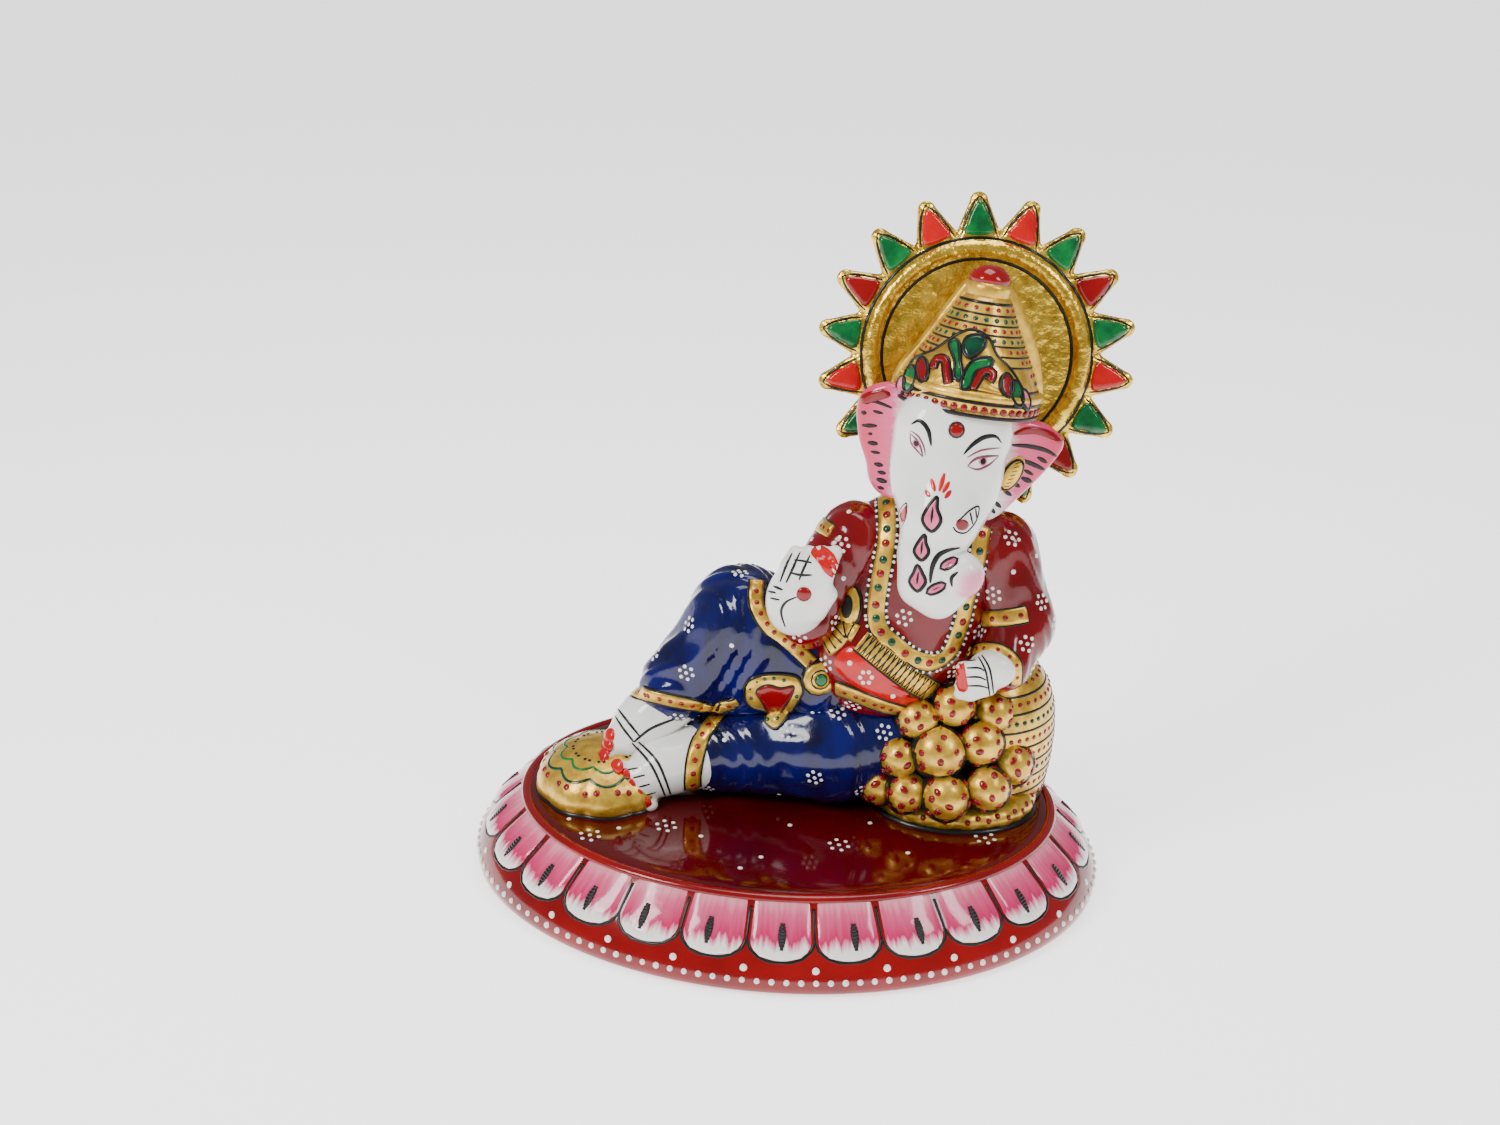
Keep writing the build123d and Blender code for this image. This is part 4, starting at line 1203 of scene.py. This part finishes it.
# ---------------------------------------------------------------- jewellery, belts and dots
def build_trims():
    """Braids, belt, buckle and pendant, then the white dots of the cloth and the deck."""
    body = caster(surface("torso_casting", "right_arm_casting", "left_arm_casting", "left_leg_casting",
                          "right_leg_casting"))
    chest = caster(surface("torso_casting", "left_arm_casting"))
    paint = Brush("jewellery_enamel", "gold_enamel")
    band(paint, chest, [(37, 19.2), (37.5, 11.3), (37, 3.7), (35.5, -4.5), (34.4, -13.5), (35.8, -19),
                        (39.3, -22.2), (44.2, -26), (50.1, -27.2), (54.6, -24.2), (57.6, -16.8),
                        (59.2, -10.2), (62, 0.7), (63.5, 9.7)], 5.2, ("dark_green", "red"), 4.1, 1.15, 0.8,
         beads=True)
    band(paint, body, [(14.7, 9.7), (17.7, 10.8), (22.1, 8.3)], 4.4, ("red",), 2.2, 0.62)
    band(paint, body, [(63.6, -15.4), (69.1, -15.2), (75.6, -14.1)], 4.6, ("red",), 4, 0.8)
    band(paint, body, [(59.5, -24.2), (64.2, -23.5), (69.1, -24.4), (72.6, -28), (72.6, -33.2)], 3.4,
         ("red",), 3.4, 0.6)
    cross = band(paint, body, [(30.3, -21.2), (36.9, -26.6), (44.2, -32.1), (53.2, -37.3)], 6.4, (), 9, 0.5)
    for k in range(2, len(cross) - 3, 2):
        for a, b in ((-2.8, 2.8), (2.8, -2.8)):
            ends = [edge_of(cross[k - 1:k + 2], a)[1], edge_of(cross[k:k + 3], b)[1]]
            middle = ((ends[0][0] + ends[1][0]) / 2, ends[0][1])
            paint.ribbon("black", [ends[0], middle, ends[1]], 0.4, 0.15, 0.5)
    sash = [(27, -22.5), (32.8, -26.3), (41, -32.6), (50.8, -38.6), (43.1, -40), (35.5, -37), (27.3, -33.2),
            (22.4, -27.4)]
    paint.field("bright_red", body, sash, 0.25)
    for at in ((27.3, -27.4), (39, -36.4)):
        paint.dot("white", body(*at), 0.75, 0.25)
    for at in oval(31.7, -31.3, 1.6, 1.6, count=6):
        paint.dot("white", body(*at), 0.6, 0.3)
    band(paint, body, [(23.5, -34.3), (27.8, -35.9), (35.5, -38.9), (42.3, -40.8), (47.8, -41.4)], 5,
         ("red",), 2.7, 0.72)
    band(paint, body, [(1.9, -4.8), (1.9, -11.9), (6, -18.4), (11.7, -22.8), (16.9, -27.7)], 4.2, ("red",),
         3.4, 0.75)
    ankles = caster(surface("left_leg_casting", "right_leg_casting", "right_foot_casting",
                            "left_foot_casting"))
    band(paint, ankles, [(-32.2, -34.8), (-25.9, -36.7), (-18, -38.4), (-10.1, -39.7), (-3.3, -38.1)], 4,
         ("red",), 3.2, 0.75)
    band(paint, ankles, [(-6, -39.2), (-10.4, -43.5), (-13.7, -49), (-15.3, -55.3), (-15.6, -61.6),
                         (-13.9, -65.7)], 4.6, ("red",), 3.6, 0.85)
    heart = [(-1.6, -34.5), (0.5, -31.5), (5.5, -30.4), (12.6, -31), (14.5, -34.8), (12.3, -39.2),
             (9.3, -43.5), (6.8, -45.5), (4.1, -43.5), (4.4, -40.5), (0, -38.9)]
    paint.field("gold", body, heart, 0.7)
    paint.stroke("black", body, heart, 0.7, 0.2, 0.5, closed=True)
    inner = [(1.9, -34.8), (4.9, -33.2), (8.5, -34), (12, -33.4), (10.9, -36.7), (8.2, -40.5), (5.7, -41.4),
             (3.5, -37.8)]
    paint.field("red", body, inner, 0.25, 0.7)
    paint.stroke("black", body, inner, 0.5, 0.15, 0.85, closed=True)
    for at in ((0, -34), (1.9, -32.1), (4.1, -31.5), (6.6, -31.4), (9.3, -31.8), (4.9, -43), (7.6, -42.7),
               (12.8, -36.2), (0.5, -36.7)):
        paint.dot("dark_green", body(*at), 0.62, 0.7)
    for radius, colour, lift in ((5.2, "black", 0.9), (4.7, "gold", 1.6), (3, "black", 2.1),
                                 (2.6, "gold", 2.2), (1.9, "black", 2.6), (1.6, "green", 2.8)):
        paint.dot(colour, body(18.8, -31.4), radius, lift, 0.12)
    hood = body(27.3, -11.9)
    for colour, radius, lift, height, oval_share in (("black", 4, 0.6, 0.1, 1.7),
                                                     ("gold", 3.4, 1, 0.25, 1.7),
                                                     ("black", 1.75, 1.9, 0.12, 1.9)):
        paint.dot(colour, hood, radius, lift, height, oval_share, -0.1)
    coil = paint.stroke("gold", body, [(21, -23.3), (23.5, -21.2), (26.2, -18.4), (28.9, -19.5)], 5.2, 1.2)
    for k in range(1, len(coil) - 1, 2):
        paint.ribbon("black", [edge_of(coil[k - 1:k + 2], s)[1] for s in (-2.2, -0.8, 0.8, 2.2)], 0.45, 0.2,
                     1.15)
    paint.finish()
    white = Brush("white_dot_flowers", "white_enamel")
    for name, spacing in (("left_leg", 12.5), ("right_leg", 12.5), ("torso", 10.5), ("right_arm", 8.5),
                          ("left_arm", 8.5)):
        scatter(white, name + "_casting", spacing, paint.spots, 4.2)
    target = surface("plinth_deck")
    deck = caster(target)
    for at in ((-22.9, -71.9), (24.3, -77.1), (64.2, -75.2), (-43.7, -74.4)):
        spot = deck(*at)
        if spot:
            white.flower(target, spot, 2.6, 0.6)
    for at in ((-35.8, -72.5), (-13.4, -74.7), (3, -80.4), (10.9, -71.7), (32.8, -71.1), (43.1, -79.3),
               (75.3, -67.8), (-49.4, -70), (-57.1, -58), (-2.7, -83.4)):
        white.dot("white", deck(*at), 0.7)
    white.finish()


for build in (build_plinth, build_halo, build_crown, build_head, build_ears, build_body, build_hands,
              build_feet, build_cushion, build_sweets, build_bolster, build_trims):
    build()


# ---------------------------------------------------------------- frame nodes that stay visible
steel = enamel("zinc_steel", (0.55, 0.56, 0.58), (0.40, 0.41, 0.43), rough=0.35, metal=1, tone=500,
               bump=0.1, coat=0)
board = enamel("hardboard", (0.20, 0.12, 0.06), (0.13, 0.075, 0.035), rough=0.7, tone=400, bump=0.4, coat=0)
felt = enamel("glued_felt", (0.16, 0.008, 0.014), (0.09, 0.004, 0.008), rough=0.95, tone=900, grain=2500,
              bump=0.8, coat=0)
for node, material in (("plinth_screws", steel), ("plinth_washers", steel), ("halo_screw", steel),
                       ("base_cover", board), ("felt_pad", felt)):
    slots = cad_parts[node].data.materials
    slots.clear()
    slots.append(material)


# ---------------------------------------------------------------- studio
def flat_material(name, colour, rough, glow):
    """An even, softly glowing material for the floor."""
    material, _, shader = new_material(name)
    shader.inputs["Base Color"].default_value = (*colour, 1)
    shader.inputs["Roughness"].default_value = rough
    shader.inputs["Emission Color"].default_value = (*colour, 1)
    shader.inputs["Emission Strength"].default_value = glow
    return material


FLOOR_HALF, FLOOR_GLOW, SKY_GLOW = 6, 1.7, 0.32
LIGHTS = [("window_left", (-0.45, -0.35, 0.55), (0.18, 0.30), 4.2),
          ("window_right", (0.50, -0.30, 0.60), (0.15, 0.25), 1.8),
          ("overhead", (0.05, 0.05, 0.85), (0.40, 0.40), 3)]

floor_mesh = bpy.data.meshes.new("studio_floor")
corners = [(x * FLOOR_HALF, y * FLOOR_HALF, 0) for x, y in ((-1, -1), (1, -1), (1, 1), (-1, 1))]
floor_mesh.from_pydata(corners, [], [(0, 1, 2, 3)])
floor_mesh.materials.append(flat_material("studio_floor", (0.97, 0.97, 0.97), 0.9, FLOOR_GLOW))
floor = bpy.data.objects.new("studio_floor", floor_mesh)
bpy.context.scene.collection.objects.link(floor)

world = bpy.data.worlds.new("studio")
bpy.context.scene.world = world
world.use_nodes = True
world.node_tree.nodes["Background"].inputs["Color"].default_value = (1, 1, 1, 1)
world.node_tree.nodes["Background"].inputs["Strength"].default_value = SKY_GLOW

for name, at, size, energy in LIGHTS:
    light = bpy.data.lights.new(name, "AREA")
    light.shape = "RECTANGLE"
    light.size, light.size_y = size
    light.energy = energy
    lamp = bpy.data.objects.new(name, light)
    lamp.location = at
    lamp.rotation_mode = "QUATERNION"
    lamp.rotation_quaternion = (Vector((0, 0, 0.08)) - Vector(at)).to_track_quat("-Z", "Y")
    bpy.context.scene.collection.objects.link(lamp)

camera = bpy.data.cameras.new("camera")
camera.sensor_width = SENSOR
camera.lens = LENS
camera.clip_start, camera.clip_end = 0.01, 20
viewer = bpy.data.objects.new("camera", camera)
turned = Matrix((VIEW_RIGHT, VIEW_UP, -LOOK)).transposed().to_4x4()
viewer.matrix_world = Matrix.Translation(EYE * MM) @ turned
bpy.context.scene.collection.objects.link(viewer)
bpy.context.scene.camera = viewer
